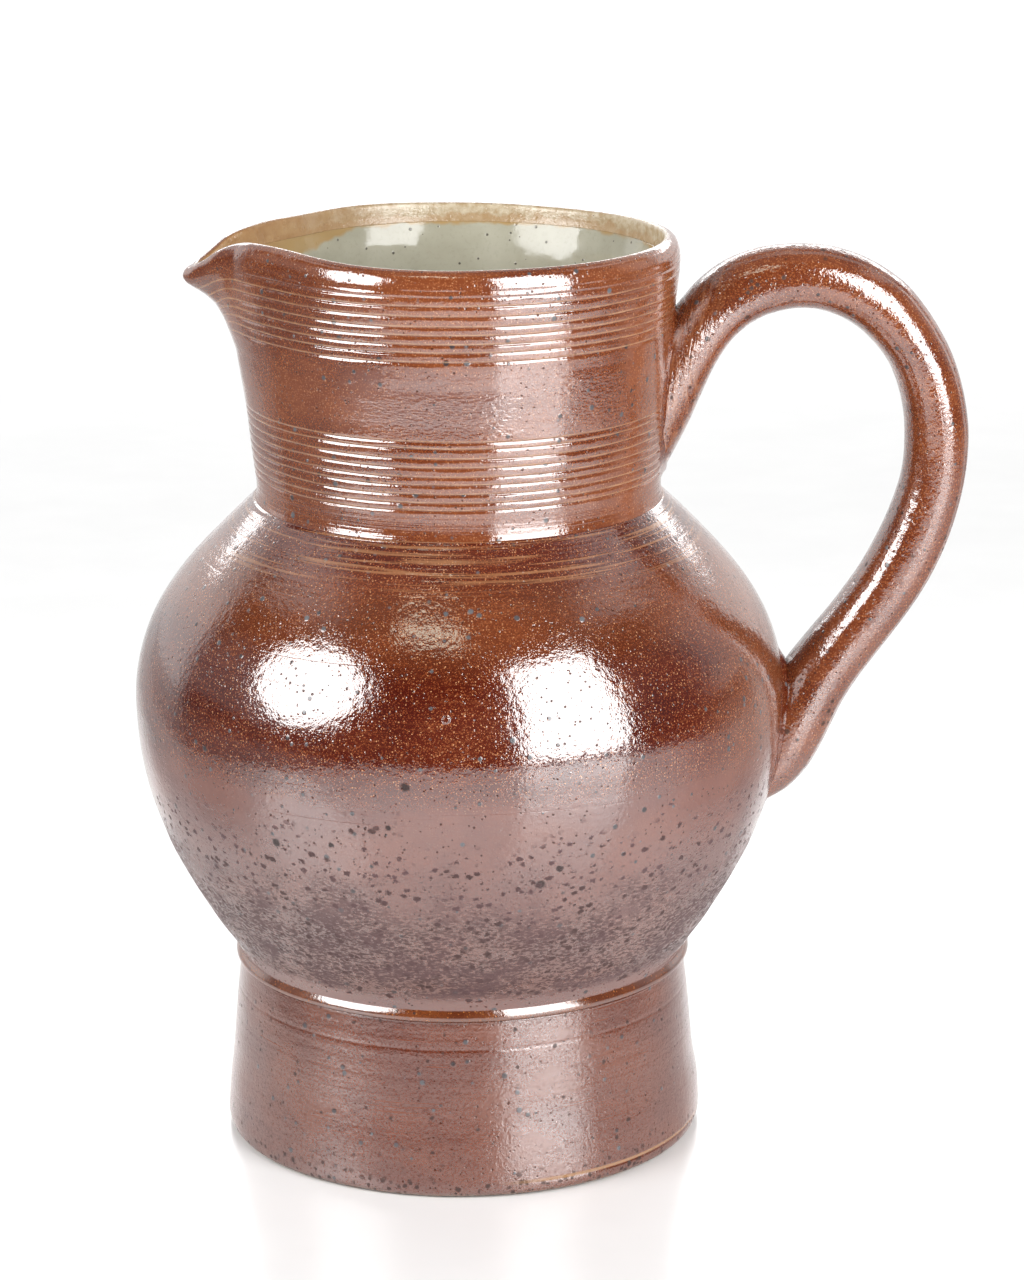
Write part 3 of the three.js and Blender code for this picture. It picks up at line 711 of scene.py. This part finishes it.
def salt_glaze(name, mottle=None, along=False, lip=False, ring_lines=0.0, underside=False, peel=1.0, warm=0.0, hammered=False, drips=False, calm=0.1, shoulder=False, marks=(), pebble=0.009, grit=0.01):
    """Iron-brown salt glaze with an orange-peel skin. mottle: (height where the dark mottling begins, full height, end), in mm."""
    k = Mat(name)
    p = k.mm
    x, y, z = k.xyz(p)
    # orange peel: small lighter beads in a dark net, over slower swells
    bead, _ = k.cells(k.vadd(p, k.vmul(k.pack(k.noise(p, 1.1), k.noise(k.vadd(p, (9, 5, 2)), 1.1), 0.5), (0.5, 0.5, 0.5))), 0.5)
    dots = k.fit(bead, 0.5, 0.14)
    fine = k.noise(p, 0.7, 3.0, 0.65)
    ripple = k.noise(p, 1.5, 2.0, 0.55)
    swell = k.noise(p, 7.0, 2.0, 0.5)
    # colour: a dark iron-brown net with lighter dots on the orange-peel beads; the lighter dots are partly the glaze's
    # own grain and partly painted glints
    cloud = k.noise(k.vmul(p, (1, 1, 1.6)), 22.0, 3.0, 0.55)
    hue = k.fit(cloud, 0.32, 0.7)
    net_a, net_b = (0.06, 0.004, 0.001), (0.1, 0.012, 0.0032)
    dot_a, dot_b = (0.27, 0.064, 0.018), (0.36, 0.112, 0.039)
    if warm:
        net_a, net_b = (0.1 * warm, 0.015 * warm, 0.004 * warm), (0.16 * warm, 0.034 * warm, 0.01 * warm)
        dot_a, dot_b = (0.35 * warm, 0.108 * warm, 0.033 * warm), (0.46 * warm, 0.165 * warm, 0.06 * warm)
    net, dot = k.mix(hue, net_a, net_b), k.mix(hue, dot_a, dot_b)
    col = k.mix(k.mul(dots, k.fit(fine, 0.25, 0.65, 0.35, 0.9, "LINEAR")), net, dot)
    # painted glints: small pale orange spots that stand for highlights off the orange-peel bumps
    glint, _ = k.spots(k.vadd(p, (3.0, 27.0, 13.0)), 0.62, 0.5, 0.1, 0.24, 0.4)
    col = k.mix(k.mul(glint, 0.9), col, (0.62, 0.31, 0.15))
    # the lighter dots and the painted glints fade towards an even colour by the calm amount, on the belly by height,
    # where the glaze mirrors the pale floor and shows no glints
    dot_fade = k.fit(z, calm[0], calm[1], 0.0, calm[2]) if isinstance(calm, tuple) else calm
    col = k.mix(dot_fade, col, k.mix(0.16 if isinstance(calm, tuple) else 0.0, k.mix(0.27, net, dot), (0.3, 0.19, 0.195)))
    if shoulder:
        col = k.mix(k.mul(k.mul(k.fit(z, 127.0, 139.0), k.fit(z, 153.0, 143.0)), 0.17), col, (0.42, 0.15, 0.055))
    if shoulder or hammered:
        # painted light: the side towards +X is made lighter and more orange, on the belly only above about z 88 mm, for
        # the brighter light falling from that side
        col = k.mix(k.mul(k.mul(k.fit(x, 52.0, 70.0) if shoulder else k.fit(x, 28.0, 46.0), k.fit(z, 88.0, 112.0)), 0.2 if shoulder else 0.13), col, (0.5, 0.2, 0.085))
    if hammered:
        # painted reflection: a pale mauve-grey patch on the front of the plain band between the grooves stands for the
        # pale floor mirrored there
        band = k.mul(k.fit(z, 180.5, 184.0), k.fit(z, 197.5, 194.0))
        band = k.mul(band, k.mul(k.fit(x, -30.0, -18.0), k.fit(x, 20.0, 6.0)))
        col = k.mix(k.mul(band, 0.15), col, (0.4, 0.33, 0.33))
    streak = k.noise(k.vmul(p, (0.3, 0.3, 3.2)), 2.4, 3.0, 0.6)
    col = k.mix(k.mul(k.fit(streak, 0.5, 0.72), k.mul(k.math("SUBTRACT", 1.0, dot_fade), 0.18)), col, dot)
    rough = k.fit(k.noise(p, 9.0, 2.0), 0.3, 0.7, 0.07, 0.12, "LINEAR")
    # raised grey-blue iron specks, small dark pinholes and a few sharper pimples
    speck, tint = k.spots(p, 3.6, 0.68, 0.3, 0.95, 0.5)
    col = k.mix(k.mul(speck, 0.94), col, k.mix(tint, (0.035, 0.032, 0.035), (0.125, 0.135, 0.147)))
    pin, _ = k.spots(k.vadd(p, (31.0, 17.0, 5.0)), 1.25, 0.5, 0.18, 0.4)
    col = k.mix(k.mul(pin, 0.8), col, (0.03, 0.012, 0.008))
    pimple, _ = k.spots(k.vadd(p, (11.0, 2.0, 19.0)), 1.3, 0.45, 0.2, 0.42, 0.1)
    bare_spot = k.math("MAXIMUM", k.mul(pin, 0.95), k.mul(speck, 0.7))
    rough = k.add(rough, k.mul(speck, 0.12))
    height = k.add(k.mul(dots, k.mul(k.math("SUBTRACT", 1.0, k.mul(dot_fade, 0.6)), pebble)), k.add(k.mul(ripple, 0.075 * peel), k.mul(swell, 0.08 * peel)))
    height = k.add(height, k.add(k.mul(pimple, 0.045 * peel), k.mul(fine, grit)))
    height = k.add(height, k.mul(speck, 0.045))
    height = k.add(height, k.mul(pin, -0.05))
    if mottle:
        begin, full, stop = mottle
        for at, size in marks:
            spot = k.t.nodes.new("ShaderNodeVectorMath")
            spot.operation = "DISTANCE"
            k.put(spot.inputs[0], k.vadd(p, k.vmul(k.pack(k.noise(p, 1.0), k.noise(k.vadd(p, (5, 1, 7)), 1.0), k.noise(k.vadd(p, (2, 8, 3)), 1.0)), (0.9, 0.9, 0.9))))
            spot.inputs[1].default_value = (at[0] + 0.45, at[1] + 0.45, at[2] + 0.45)
            m = k.fit(spot.outputs["Value"], abs(size), abs(size) * 0.5)
            if size > 0:
                col = k.mix(k.mul(m, 0.95), col, (0.03, 0.018, 0.017))
                bare_spot = k.math("MAXIMUM", bare_spot, k.mul(m, 0.9))
            else:
                height = k.add(height, k.mul(m, 0.3))
        low = k.add(z, k.fit(k.noise(p, 14.0, 3.0), 0.3, 0.7, -7.0, 7.0, "LINEAR"))
        zone = k.mul(k.fit(low, begin, full), k.fit(z, stop, stop + 1.8))
        heavy = k.mul(k.fit(low, full + 14, full - 10), k.fit(z, stop, stop + 3.0))
        # separate dark spots first, then streaky patches that run together
        wob = k.vmul(k.pack(k.noise(p, 0.9), k.noise(k.vadd(p, (5, 1, 7)), 0.9), k.noise(k.vadd(p, (2, 8, 3)), 0.9)), (1.3, 1.3, 1.3))
        wp = k.vmul(k.vadd(p, wob), (0.88, 0.88, 1.2))
        big, _ = k.spots(k.vadd(wp, (7.0, 3.0, 11.0)), 2.05, 0.7, 0.28, 1.15, 0.6)
        mid, _ = k.spots(k.vadd(wp, (1.0, 23.0, 41.0)), 1.0, 0.55, 0.15, 0.5, 0.5)
        tiny, _ = k.spots(k.vadd(p, (13.0, 2.0, 21.0)), 0.95, 0.5, 0.1, 0.26, 0.4)
        flow = k.noise(k.vmul(p, (0.8, 0.8, 2.0)), 1.05, 4.0, 0.62, 0.4)
        patch = k.noise(k.vmul(p, (0.8, 0.8, 1.5)), 9.0, 3.0, 0.6)
        run = k.mul(k.fit(k.add(flow, k.mul(patch, 0.45)), 0.66, 0.78), heavy)
        seed = k.fit(zone, 0.0, 0.35)
        dark = k.math("MAXIMUM", k.mul(big, seed), k.mul(k.mul(mid, 0.85), zone))
        dark = k.math("MAXIMUM", dark, k.mul(k.mul(tiny, 0.8), zone))
        dark = k.math("MAXIMUM", dark, k.mul(run, 0.9), clamp=True)
        col = k.mix(k.mul(dark, 0.93), col, k.mix(k.fit(patch, 0.35, 0.65), (0.06, 0.033, 0.032), (0.105, 0.06, 0.064)))
        bare_spot = k.math("MAXIMUM", bare_spot, dark)
        col = k.mix(k.mul(heavy, 0.18), col, (0.1, 0.062, 0.055))
        # the glaze is drier over the mottling
        rough = k.add(rough, k.add(k.mul(zone, 0.05), k.mul(heavy, 0.12)))
        rough = k.add(rough, k.mul(dark, 0.3))
        height = k.add(height, k.mul(big, k.mul(seed, 0.05)))
        height = k.add(height, k.mul(k.mul(flow, heavy), 0.1))
    if drips:
        # dark grains gathered along the bottom edge
        low = k.fit(k.add(z, k.fit(k.noise(p, 9.0, 3.0), 0.3, 0.7, -4.0, 4.0, "LINEAR")), 11.0, 2.0)
        ragged = k.vadd(p, k.vmul(k.pack(k.noise(p, 0.8), k.noise(k.vadd(p, (5, 1, 7)), 0.8), k.noise(k.vadd(p, (2, 8, 3)), 0.8)), (0.9, 0.9, 0.9)))
        sp, _ = k.spots(k.vadd(ragged, (4.0, 6.0, 1.0)), 1.7, 0.85, 0.25, 0.95, 0.55)
        more, _ = k.spots(k.vadd(ragged, (14.0, 3.0, 8.0)), 2.9, 0.5, 0.2, 0.75, 0.5)
        dark = k.math("MAXIMUM", k.mul(sp, low), more, clamp=True)
        col = k.mix(k.mul(dark, 0.85), col, (0.04, 0.026, 0.024))
        rough = k.add(rough, k.mul(dark, 0.25))
        bare_spot = k.math("MAXIMUM", bare_spot, k.mul(dark, 0.9))
        lines = k.noise(k.pack(k.mul(x, 0.02), k.mul(y, 0.02), z), 0.55, 2.0, 0.6)
        brown = k.mul(k.mul(k.fit(lines, 0.58, 0.7), k.fit(k.noise(k.vmul(p, (1, 1, 2)), 12.0, 2.0), 0.42, 0.6)), k.fit(z, 10.0, 16.0))
        col = k.mix(k.mul(brown, 0.5), col, (0.2, 0.05, 0.014))
        grain = k.fit(k.noise(k.vadd(p, (8.0, 1.0, 6.0)), 0.62, 3.0, 0.7), 0.45, 0.7)
        col = k.mix(k.mul(grain, 0.3), col, (0.06, 0.03, 0.027))
        bare_spot = k.math("MAXIMUM", bare_spot, k.mul(grain, 0.55))
        bare_spot = k.math("MAXIMUM", bare_spot, k.mul(brown, 0.5))
        fold = k.mul(k.fit(k.math("ABSOLUTE", k.add(z, -3.3)), 0.6, 0.2), k.mul(k.fit(x, 6.0, 24.0), k.fit(y, 25.0, 0.0)))
        col = k.mix(k.mul(fold, 0.85), col, (0.4, 0.2, 0.08))
    if shoulder:
        # fine turned lines on the shoulder, paler along their crests
        turned = k.noise(k.pack(k.mul(x, 0.014), k.mul(y, 0.014), z), 0.5, 2.0, 0.6)
        there = k.fit(z, 142.0, 150.0)
        col = k.mix(k.mul(k.mul(k.fit(turned, 0.52, 0.65), there), 0.62), col, (0.4, 0.19, 0.085))
        height = k.add(height, k.mul(k.mul(turned, there), k.fit(z, 147.0, 152.0, 0.015, 0.06)))
        few = k.fit(k.noise(k.pack(k.mul(x, 0.006), k.mul(y, 0.006), z), 1.1, 2.0, 0.6), 0.66, 0.74)
        height = k.add(height, k.mul(few, -0.02))
    if hammered:
        # a patch of coarser skin on the plain band between the grooves
        ham = k.noise(k.vmul(p, (0.7, 0.7, 1.7)), 1.0, 2.0, 0.5)
        where = k.math("MAXIMUM", k.mul(k.fit(k.math("ABSOLUTE", k.add(x, 3.0)), 24.0, 10.0), k.fit(k.math("ABSOLUTE", k.add(z, -184.6)), 7.0, 3.5)), k.mul(k.fit(k.math("ABSOLUTE", k.add(x, -34.0)), 13.0, 5.0), k.fit(k.math("ABSOLUTE", k.add(z, -187.0)), 8.0, 4.0)))
        where = k.mul(where, k.fit(y, 0.0, -12.0))
        height = k.add(height, k.mul(k.mul(ham, where), 0.2))
        thin = k.mul(k.attr("crest"), k.fit(k.noise(p, 5.0, 3.0, 0.6), 0.35, 0.65, 0.35, 0.85, "LINEAR"))
        col = k.mix(thin, col, (0.5, 0.27, 0.13))
        ringed = k.noise(k.pack(k.mul(x, 0.016), k.mul(y, 0.016), z), 0.5, 2.0, 0.6)
        height = k.add(height, k.mul(k.mul(ringed, k.fit(z, 163.0, 160.5)), 0.11))
        hot = k.mul(k.fit(ham, 0.55, 0.75), where)
        col = k.mix(k.mul(hot, 0.5), col, (0.07, 0.013, 0.004))
    if along:
        s, q = k.attr("along"), k.attr("around")
        drawn = k.noise(k.pack(k.mul(s, 0.05), q, 0.0), 0.8, 3.0, 0.6)
        height = k.add(height, k.mul(drawn, 0.03))
        # finger strokes where the end was smoothed on
        stroke = k.noise(k.pack(k.add(k.mul(s, 0.2), k.mul(q, 0.5)), k.add(k.mul(q, 0.3), k.mul(s, 0.8)), 3.0), 1.3, 3.0, 0.6)
        root = k.fit(s, 30.0, 12.0)
        height = k.add(height, k.mul(k.mul(stroke, root), 0.2))
        col = k.mix(k.mul(k.mul(k.fit(stroke, 0.45, 0.65), root), 0.5), col, (0.42, 0.17, 0.075))
        bl, _ = k.spots(k.vadd(p, (3.0, 1.0, 2.0)), 2.6, 0.5, 0.25, 0.9, 0.5)
        bl = k.mul(bl, k.fit(k.noise(p, 18.0, 2.0), 0.4, 0.54))
        col = k.mix(k.mul(bl, 0.8), col, (0.04, 0.026, 0.022))
        rough = k.add(k.add(rough, 0.02), k.mul(bl, 0.25))
        bare_spot = k.math("MAXIMUM", bare_spot, k.mul(bl, 0.9))
    if ring_lines:
        lines = k.noise(k.pack(k.mul(x, 0.02), k.mul(y, 0.02), z), 0.7, 3.0, 0.65)
        height = k.add(height, k.mul(lines, ring_lines))
    if lip:
        inner = k.attr("lip")
        tan_a = k.mix(k.fit(k.noise(p, 2.6, 4.0, 0.65), 0.35, 0.68), (0.42, 0.3, 0.165), (0.62, 0.53, 0.385))
        tan_a = k.mix(k.mul(k.fit(k.add(z, k.fit(k.noise(p, 3.0, 3.0), 0.3, 0.7, -1.0, 1.0, "LINEAR")), 215.6, 214.5), 0.6), tan_a, (0.4, 0.235, 0.1))
        near = k.fit(x, -48.0, -8.0)
        tan_b = k.mix(near, k.mix(k.noise(p, 3.0, 3.0), (0.3, 0.13, 0.045), (0.52, 0.33, 0.155)), tan_a)
        bit, _ = k.spots(k.vadd(p, (2.0, 9.0, 4.0)), 3.4, 0.5, 0.2, 0.5, 0.5)
        tan_b = k.mix(k.mul(bit, 0.85), tan_b, (0.05, 0.045, 0.05))
        col = k.mix(inner, col, tan_b)
        rough = k.add(rough, k.mul(inner, 0.17))
        bare_spot = k.math("MAXIMUM", bare_spot, k.mul(inner, 0.65))
        height = k.add(height, k.mul(k.mul(k.noise(p, 0.8, 3.0, 0.6), inner), 0.12))
    if underside:
        bare = k.fit(z, 0.75, 0.2)
        cloth = k.mix(k.noise(p, 3.0, 4.0, 0.65), (0.2, 0.12, 0.075), (0.33, 0.22, 0.145))
        col = k.mix(bare, col, cloth)
        rough = k.add(rough, k.mul(bare, 0.6))
        arcs = k.t.nodes.new("ShaderNodeVectorMath")
        arcs.operation = "DISTANCE"
        k.put(arcs.inputs[0], p)
        arcs.inputs[1].default_value = (-70.0, -20.0, 0.0)
        wire = k.math("SINE", k.add(k.mul(arcs.outputs["Value"], 2.6), k.mul(k.noise(p, 8.0), 3.0)))
        height = k.add(height, k.mul(k.mul(wire, bare), 0.1))
    b = k.bsdf.inputs
    k.put(b["Base Color"], col)
    k.put(b["Roughness"], rough)
    b["IOR"].default_value = GLAZE_IOR
    # the dark spots stand dry on the glaze
    k.put(b["Specular IOR Level"], k.fit(bare_spot, 0.0, 1.0, 0.5, 0.07, "LINEAR"))
    k.put(b["Normal"], k.bump(height))
    return k.m


def lining_glaze(name):
    k = Mat(name)
    p = k.mm
    x, y, z = k.xyz(p)
    cloud = k.noise(p, 13.0, 3.0, 0.55)
    col = k.mix(k.fit(cloud, 0.3, 0.7), (0.39, 0.372, 0.288), (0.465, 0.448, 0.358))
    fine = k.noise(p, 0.9, 3.0, 0.6)
    col = k.mix(k.mul(k.fit(fine, 0.5, 0.75), 0.25), col, (0.27, 0.255, 0.19))
    speck, _ = k.spots(p, 2.3, 0.75, 0.16, 0.5, 0.5)
    col = k.mix(k.mul(speck, 0.85), col, (0.045, 0.035, 0.028))
    # tan towards the rim, darkest just where the lining ends, golden in the spout
    edge = k.add(k.add(z, k.fit(k.noise(p, 5.0, 3.0), 0.3, 0.7, -0.7, 0.7, "LINEAR")), k.fit(x, -22.0, -46.0, 0.0, 6.0))
    top = k.fit(edge, 212.4, 213.7)
    spout = k.fit(x, -39.0, -50.0)
    top = k.math("MAXIMUM", top, k.mul(spout, k.fit(z, 196.0, 206.0)))
    ochre = k.mix(spout, (0.42, 0.28, 0.125), (0.4, 0.21, 0.075))
    col = k.mix(top, col, ochre)
    rough = k.fit(k.noise(p, 7.0, 2.0), 0.3, 0.7, 0.07, 0.14, "LINEAR")
    swell = k.noise(p, 4.5, 2.0, 0.5)
    height = k.add(k.mul(swell, 0.07), k.add(k.mul(fine, 0.008), k.mul(speck, 0.05)))
    b = k.bsdf.inputs
    k.put(b["Base Color"], col)
    k.put(b["Roughness"], rough)
    b["IOR"].default_value = 1.6
    k.put(b["Normal"], k.bump(height))
    return k.m


def bead_glaze(name):
    k = Mat(name)
    p = k.mm
    cloud = k.noise(p, 12.0, 3.0, 0.55)
    col = k.mix(k.fit(cloud, 0.3, 0.7), (0.09, 0.017, 0.005), (0.19, 0.05, 0.0125))
    fine = k.noise(p, 0.7, 3.0, 0.6)
    col = k.mix(k.mul(k.fit(fine, 0.45, 0.75), 0.5), col, (0.07, 0.013, 0.004))
    # painted glints: small orange spots that stand for highlights off the glaze's fine bumps
    painted_glint, _ = k.spots(k.vadd(p, (3.0, 27.0, 13.0)), 0.62, 0.5, 0.1, 0.24, 0.4)
    col = k.mix(k.mul(painted_glint, 0.8), col, (0.5, 0.2, 0.06))
    pin, _ = k.spots(p, 3.2, 0.5, 0.3, 1.0)
    col = k.mix(k.mul(pin, 0.85), col, (0.04, 0.028, 0.026))
    rough = k.fit(k.noise(p, 6.0, 2.0), 0.3, 0.7, 0.08, 0.16, "LINEAR")
    b = k.bsdf.inputs
    k.put(b["Base Color"], col)
    k.put(b["Roughness"], rough)
    b["IOR"].default_value = GLAZE_IOR
    k.put(b["Normal"], k.bump(k.add(k.mul(fine, 0.03), k.mul(k.noise(p, 3.0), 0.05))))
    return k.m


def dress(ob, node, mat):
    ob.data.materials.append(mat)
    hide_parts(node)
    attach(ob, "root")


dress(foot, "foot", salt_glaze("salt_glaze_foot", ring_lines=0.016, underside=True, peel=0.9, drips=True, calm=0.94, grit=0.075))
dress(bead, "foot_luting_bead", bead_glaze("glaze_bead"))
dress(belly, "belly", salt_glaze("salt_glaze_belly", mottle=(101.0, 74.0, 47.6), calm=(107.0, 99.0, 0.92), shoulder=True,
      marks=[((-3.28, -75.22, 122.0), -1.1), ((-12.6, -76.6, 106.7), 1.3), ((-42.3, -62.9, 89.5), 1.4), ((-16.5, -75.3, 96.7), 0.9), ((17.75, -71.6, 82.0), 1.5), ((-29.6, -70.1, 91.2), 0.9), ((22.1, -71.5, 85.7), 1.1)]))
dress(neck, "neck_collar", salt_glaze("salt_glaze_neck", lip=True, ring_lines=0.02, peel=0.9, warm=1.06, hammered=True, pebble=0.007, calm=0.4))
dress(handle, "handle", salt_glaze("salt_glaze_handle", along=True, peel=1.9, warm=1.12, calm=0.25, pebble=0.01))
dress(upper, "upper_luting_clay", salt_glaze("salt_glaze_upper_lute", peel=0.8, warm=1.0))
dress(lower, "lower_luting_clay", salt_glaze("salt_glaze_lower_lute", peel=0.8))
dress(lining, "glaze_lining", lining_glaze("glaze_lining"))

# ------------------------------------------------------------------ stage

fm = Mat("pale_floor")
fx, fy, fz = fm.xyz(fm.mm)
fcol = fm.mix(fm.fit(fm.noise(fm.mm, 60.0, 3.0, 0.6), 0.3, 0.7), (0.91, 0.91, 0.91), (0.94, 0.94, 0.94))
# the pale sweep widens behind the jug and ends a little way off at its sides and in front; beyond it the floor is
# painted dark, painted shade standing for the dim room around the lit sweep
wide = fm.fit(fy, 100.0, 2000.0, 0.0, 900.0, "LINEAR")
away = fm.math("MAXIMUM", fm.fit(fm.add(fm.mul(fx, -1.0), fm.mul(wide, -1.0)), 345.0, 410.0), fm.fit(fm.add(fx, fm.mul(wide, -1.0)), 560.0, 800.0))
ahead = fm.fit(fy, -745.0, -815.0)
# painted shade: the floor is darker beside and behind the jug than in front of it, with a darker patch to its left,
# standing for weaker light falling there
beside = fm.math("SUBTRACT", fm.math("ABSOLUTE", fx), fm.mul(fm.add(fy, 1000.0), 0.137))
beside = fm.mul(fm.fit(beside, 5.0, 120.0), fm.fit(fy, -150.0, 0.0))
fcol = fm.mix(fm.mul(beside, 0.5), fcol, (0.1, 0.1, 0.1))
fcol = fm.mix(fm.mul(fm.mul(fm.fit(fx, -120.0, -260.0), fm.fit(fy, 100.0, -50.0)), 0.25), fcol, (0.1, 0.1, 0.1))
fcol = fm.mix(away, fcol, (0.14, 0.14, 0.14))
fcol = fm.mix(ahead, fcol, (0.05, 0.05, 0.05))
fm.put(fm.bsdf.inputs["Base Color"], fcol)
fm.bsdf.inputs["Roughness"].default_value = 0.19
fm.bsdf.inputs["IOR"].default_value = 1.5
me = bpy.data.meshes.new("floor")
s = 7.0
me.from_pydata([(-s, -s, 0), (s, -s, 0), (s, s, 0), (-s, s, 0)], [], [(0, 1, 2, 3)])
floor = bpy.data.objects.new("floor", me)
scene.collection.objects.link(floor)
floor.data.materials.append(fm.m)
floor.location.z = -0.0003


def softbox(name, az, el, dist, w, h, radiance, shape="RECTANGLE", tint=(1, 1, 1), aim=(0, 0, 0.12), upright=False):
    a, e = math.radians(az), math.radians(el)
    d = Vector((math.sin(a) * math.cos(e), -math.cos(a) * math.cos(e), math.sin(e)))
    light = bpy.data.lights.new(name, "AREA")
    light.shape = shape
    light.size, light.size_y = w, h
    area = w * h * (math.pi / 4 if shape in ("ELLIPSE", "DISK") else 1.0)
    light.energy = radiance * math.pi * area
    light.color = tint
    ob = bpy.data.objects.new(name, light)
    ob.location = Vector(aim) + d * dist
    if upright:
        d = Vector((d.x, d.y, 0.0)).normalized()
    ob.rotation_euler = d.to_track_quat("Z", "Y").to_euler()
    scene.collection.objects.link(ob)
    return ob


softbox("softbox_left", -59.0, 26.5, 1.0, 0.7, 0.7, 7.2, "ELLIPSE")
softbox("softbox_right", 39.2, 0.0, 1.0, 0.68, 1.18, 7.2, "RECTANGLE", aim=(0, 0, 0.64), upright=True)
softbox("back_fill", 180, 90, 0.95, 3.2, 1.3, 4.6, "RECTANGLE", aim=(0, 2.3, 0))
softbox("ceiling_strip", -19, 62, 1.6, 0.5, 0.16, 2.7, "RECTANGLE", (1.0, 0.97, 0.78))

world = bpy.data.worlds.new("studio")
scene.world = world
world.use_nodes = True
wt = world.node_tree
wt.nodes.clear()
wo = wt.nodes.new("ShaderNodeOutputWorld")
wb = wt.nodes.new("ShaderNodeBackground")
wt.links.new(wb.outputs[0], wo.inputs[0])
wc = wt.nodes.new("ShaderNodeTexCoord")
ws = wt.nodes.new("ShaderNodeSeparateXYZ")
wt.links.new(wc.outputs["Generated"], ws.inputs[0])


def world_math(op, a, b):
    n = wt.nodes.new("ShaderNodeMath")
    n.operation = op
    for s, v in zip(n.inputs, (a, b)):
        if isinstance(v, bpy.types.NodeSocket):
            wt.links.new(v, s)
        else:
            s.default_value = v
    return n.outputs[0]


def world_ramp(v, a, b, lo, hi):
    n = wt.nodes.new("ShaderNodeMapRange")
    n.interpolation_type = "SMOOTHSTEP"
    wt.links.new(v, n.inputs["Value"])
    for key, val in (("From Min", a), ("From Max", b), ("To Min", lo), ("To Max", hi)):
        n.inputs[key].default_value = val
    return n.outputs["Result"]


# a lit white backdrop behind, a dim room in front, and a paler ceiling overhead and behind
wx, wy, wz = ws.outputs[0], ws.outputs[1], ws.outputs[2]
w_back = world_ramp(world_math("ADD", wy, world_math("MULTIPLY", wx, -0.09)), 0.42, 0.58, 0.05, 1.15)
w_back = world_math("MULTIPLY", w_back, world_ramp(wz, 0.32, 0.62, 1.0, 0.45))
w_top = world_ramp(world_math("ADD", wz, world_math("MULTIPLY", wy, 0.37)), 0.68, 0.82, 0.0, 1.0)
w_top = world_math("MULTIPLY", w_top, world_ramp(wy, -0.42, -0.12, 0.15, 1.0))
w_top = world_math("MULTIPLY", w_top, world_ramp(world_math("ABSOLUTE", wx, 0.0), 0.46, 0.68, 0.1, 0.8))
w_left = world_math("MULTIPLY", world_ramp(world_math("MULTIPLY", wx, -1.0), 0.78, 0.93, 0.0, 0.25), world_ramp(wz, 0.0, 0.1, 0.0, 1.0))
w_right = world_math("MULTIPLY", world_ramp(wx, 0.7, 0.85, 0.0, 0.45), world_math("MULTIPLY", world_ramp(wz, 0.0, 0.1, 0.0, 1.0), world_ramp(wy, 0.0, 0.35, 0.2, 1.0)))
w_top = world_math("MAXIMUM", w_top, world_math("MAXIMUM", w_left, w_right))
wt.links.new(world_math("MAXIMUM", w_back, w_top), wb.inputs["Strength"])
wb.inputs["Color"].default_value = (1.0, 1.0, 1.0, 1.0)

scene.view_settings.view_transform = "Standard"
scene.view_settings.look = "None"
scene.view_settings.exposure = 0.0
scene.view_settings.gamma = 1.0

# ------------------------------------------------------------------ camera

F_PX, W_PX, H_PX = 4300.0, 1024.0, 1280.0
DIST, ELEV, ROLL = 1.032, math.radians(15.2), math.radians(0.44)
AXIS_PX, TARGET_Z = 460.2, 0.12
c, s = math.cos(ELEV), math.sin(ELEV)
eye = Vector((0.0, -DIST * c, DIST * s + TARGET_Z))
fwd, right, up = Vector((0, c, -s)), Vector((1, 0, 0)), Vector((0, s, c))
r2 = right * math.cos(ROLL) - up * math.sin(ROLL)
u2 = right * math.sin(ROLL) + up * math.cos(ROLL)
fwd = (fwd + r2 * ((W_PX / 2 - AXIS_PX) / F_PX)).normalized()
r2 = (r2 - fwd * r2.dot(fwd)).normalized()
u2 = r2.cross(fwd)
cam = bpy.data.cameras.new("camera")
cam.sensor_fit = "VERTICAL"
cam.sensor_height = 36.0
cam.lens = F_PX * 36.0 / H_PX
cam.clip_start, cam.clip_end = 0.01, 60.0
cob = bpy.data.objects.new("camera", cam)
cob.matrix_world = Matrix(((r2.x, u2.x, -fwd.x, eye.x), (r2.y, u2.y, -fwd.y, eye.y), (r2.z, u2.z, -fwd.z, eye.z), (0, 0, 0, 1)))
scene.collection.objects.link(cob)
scene.camera = cob
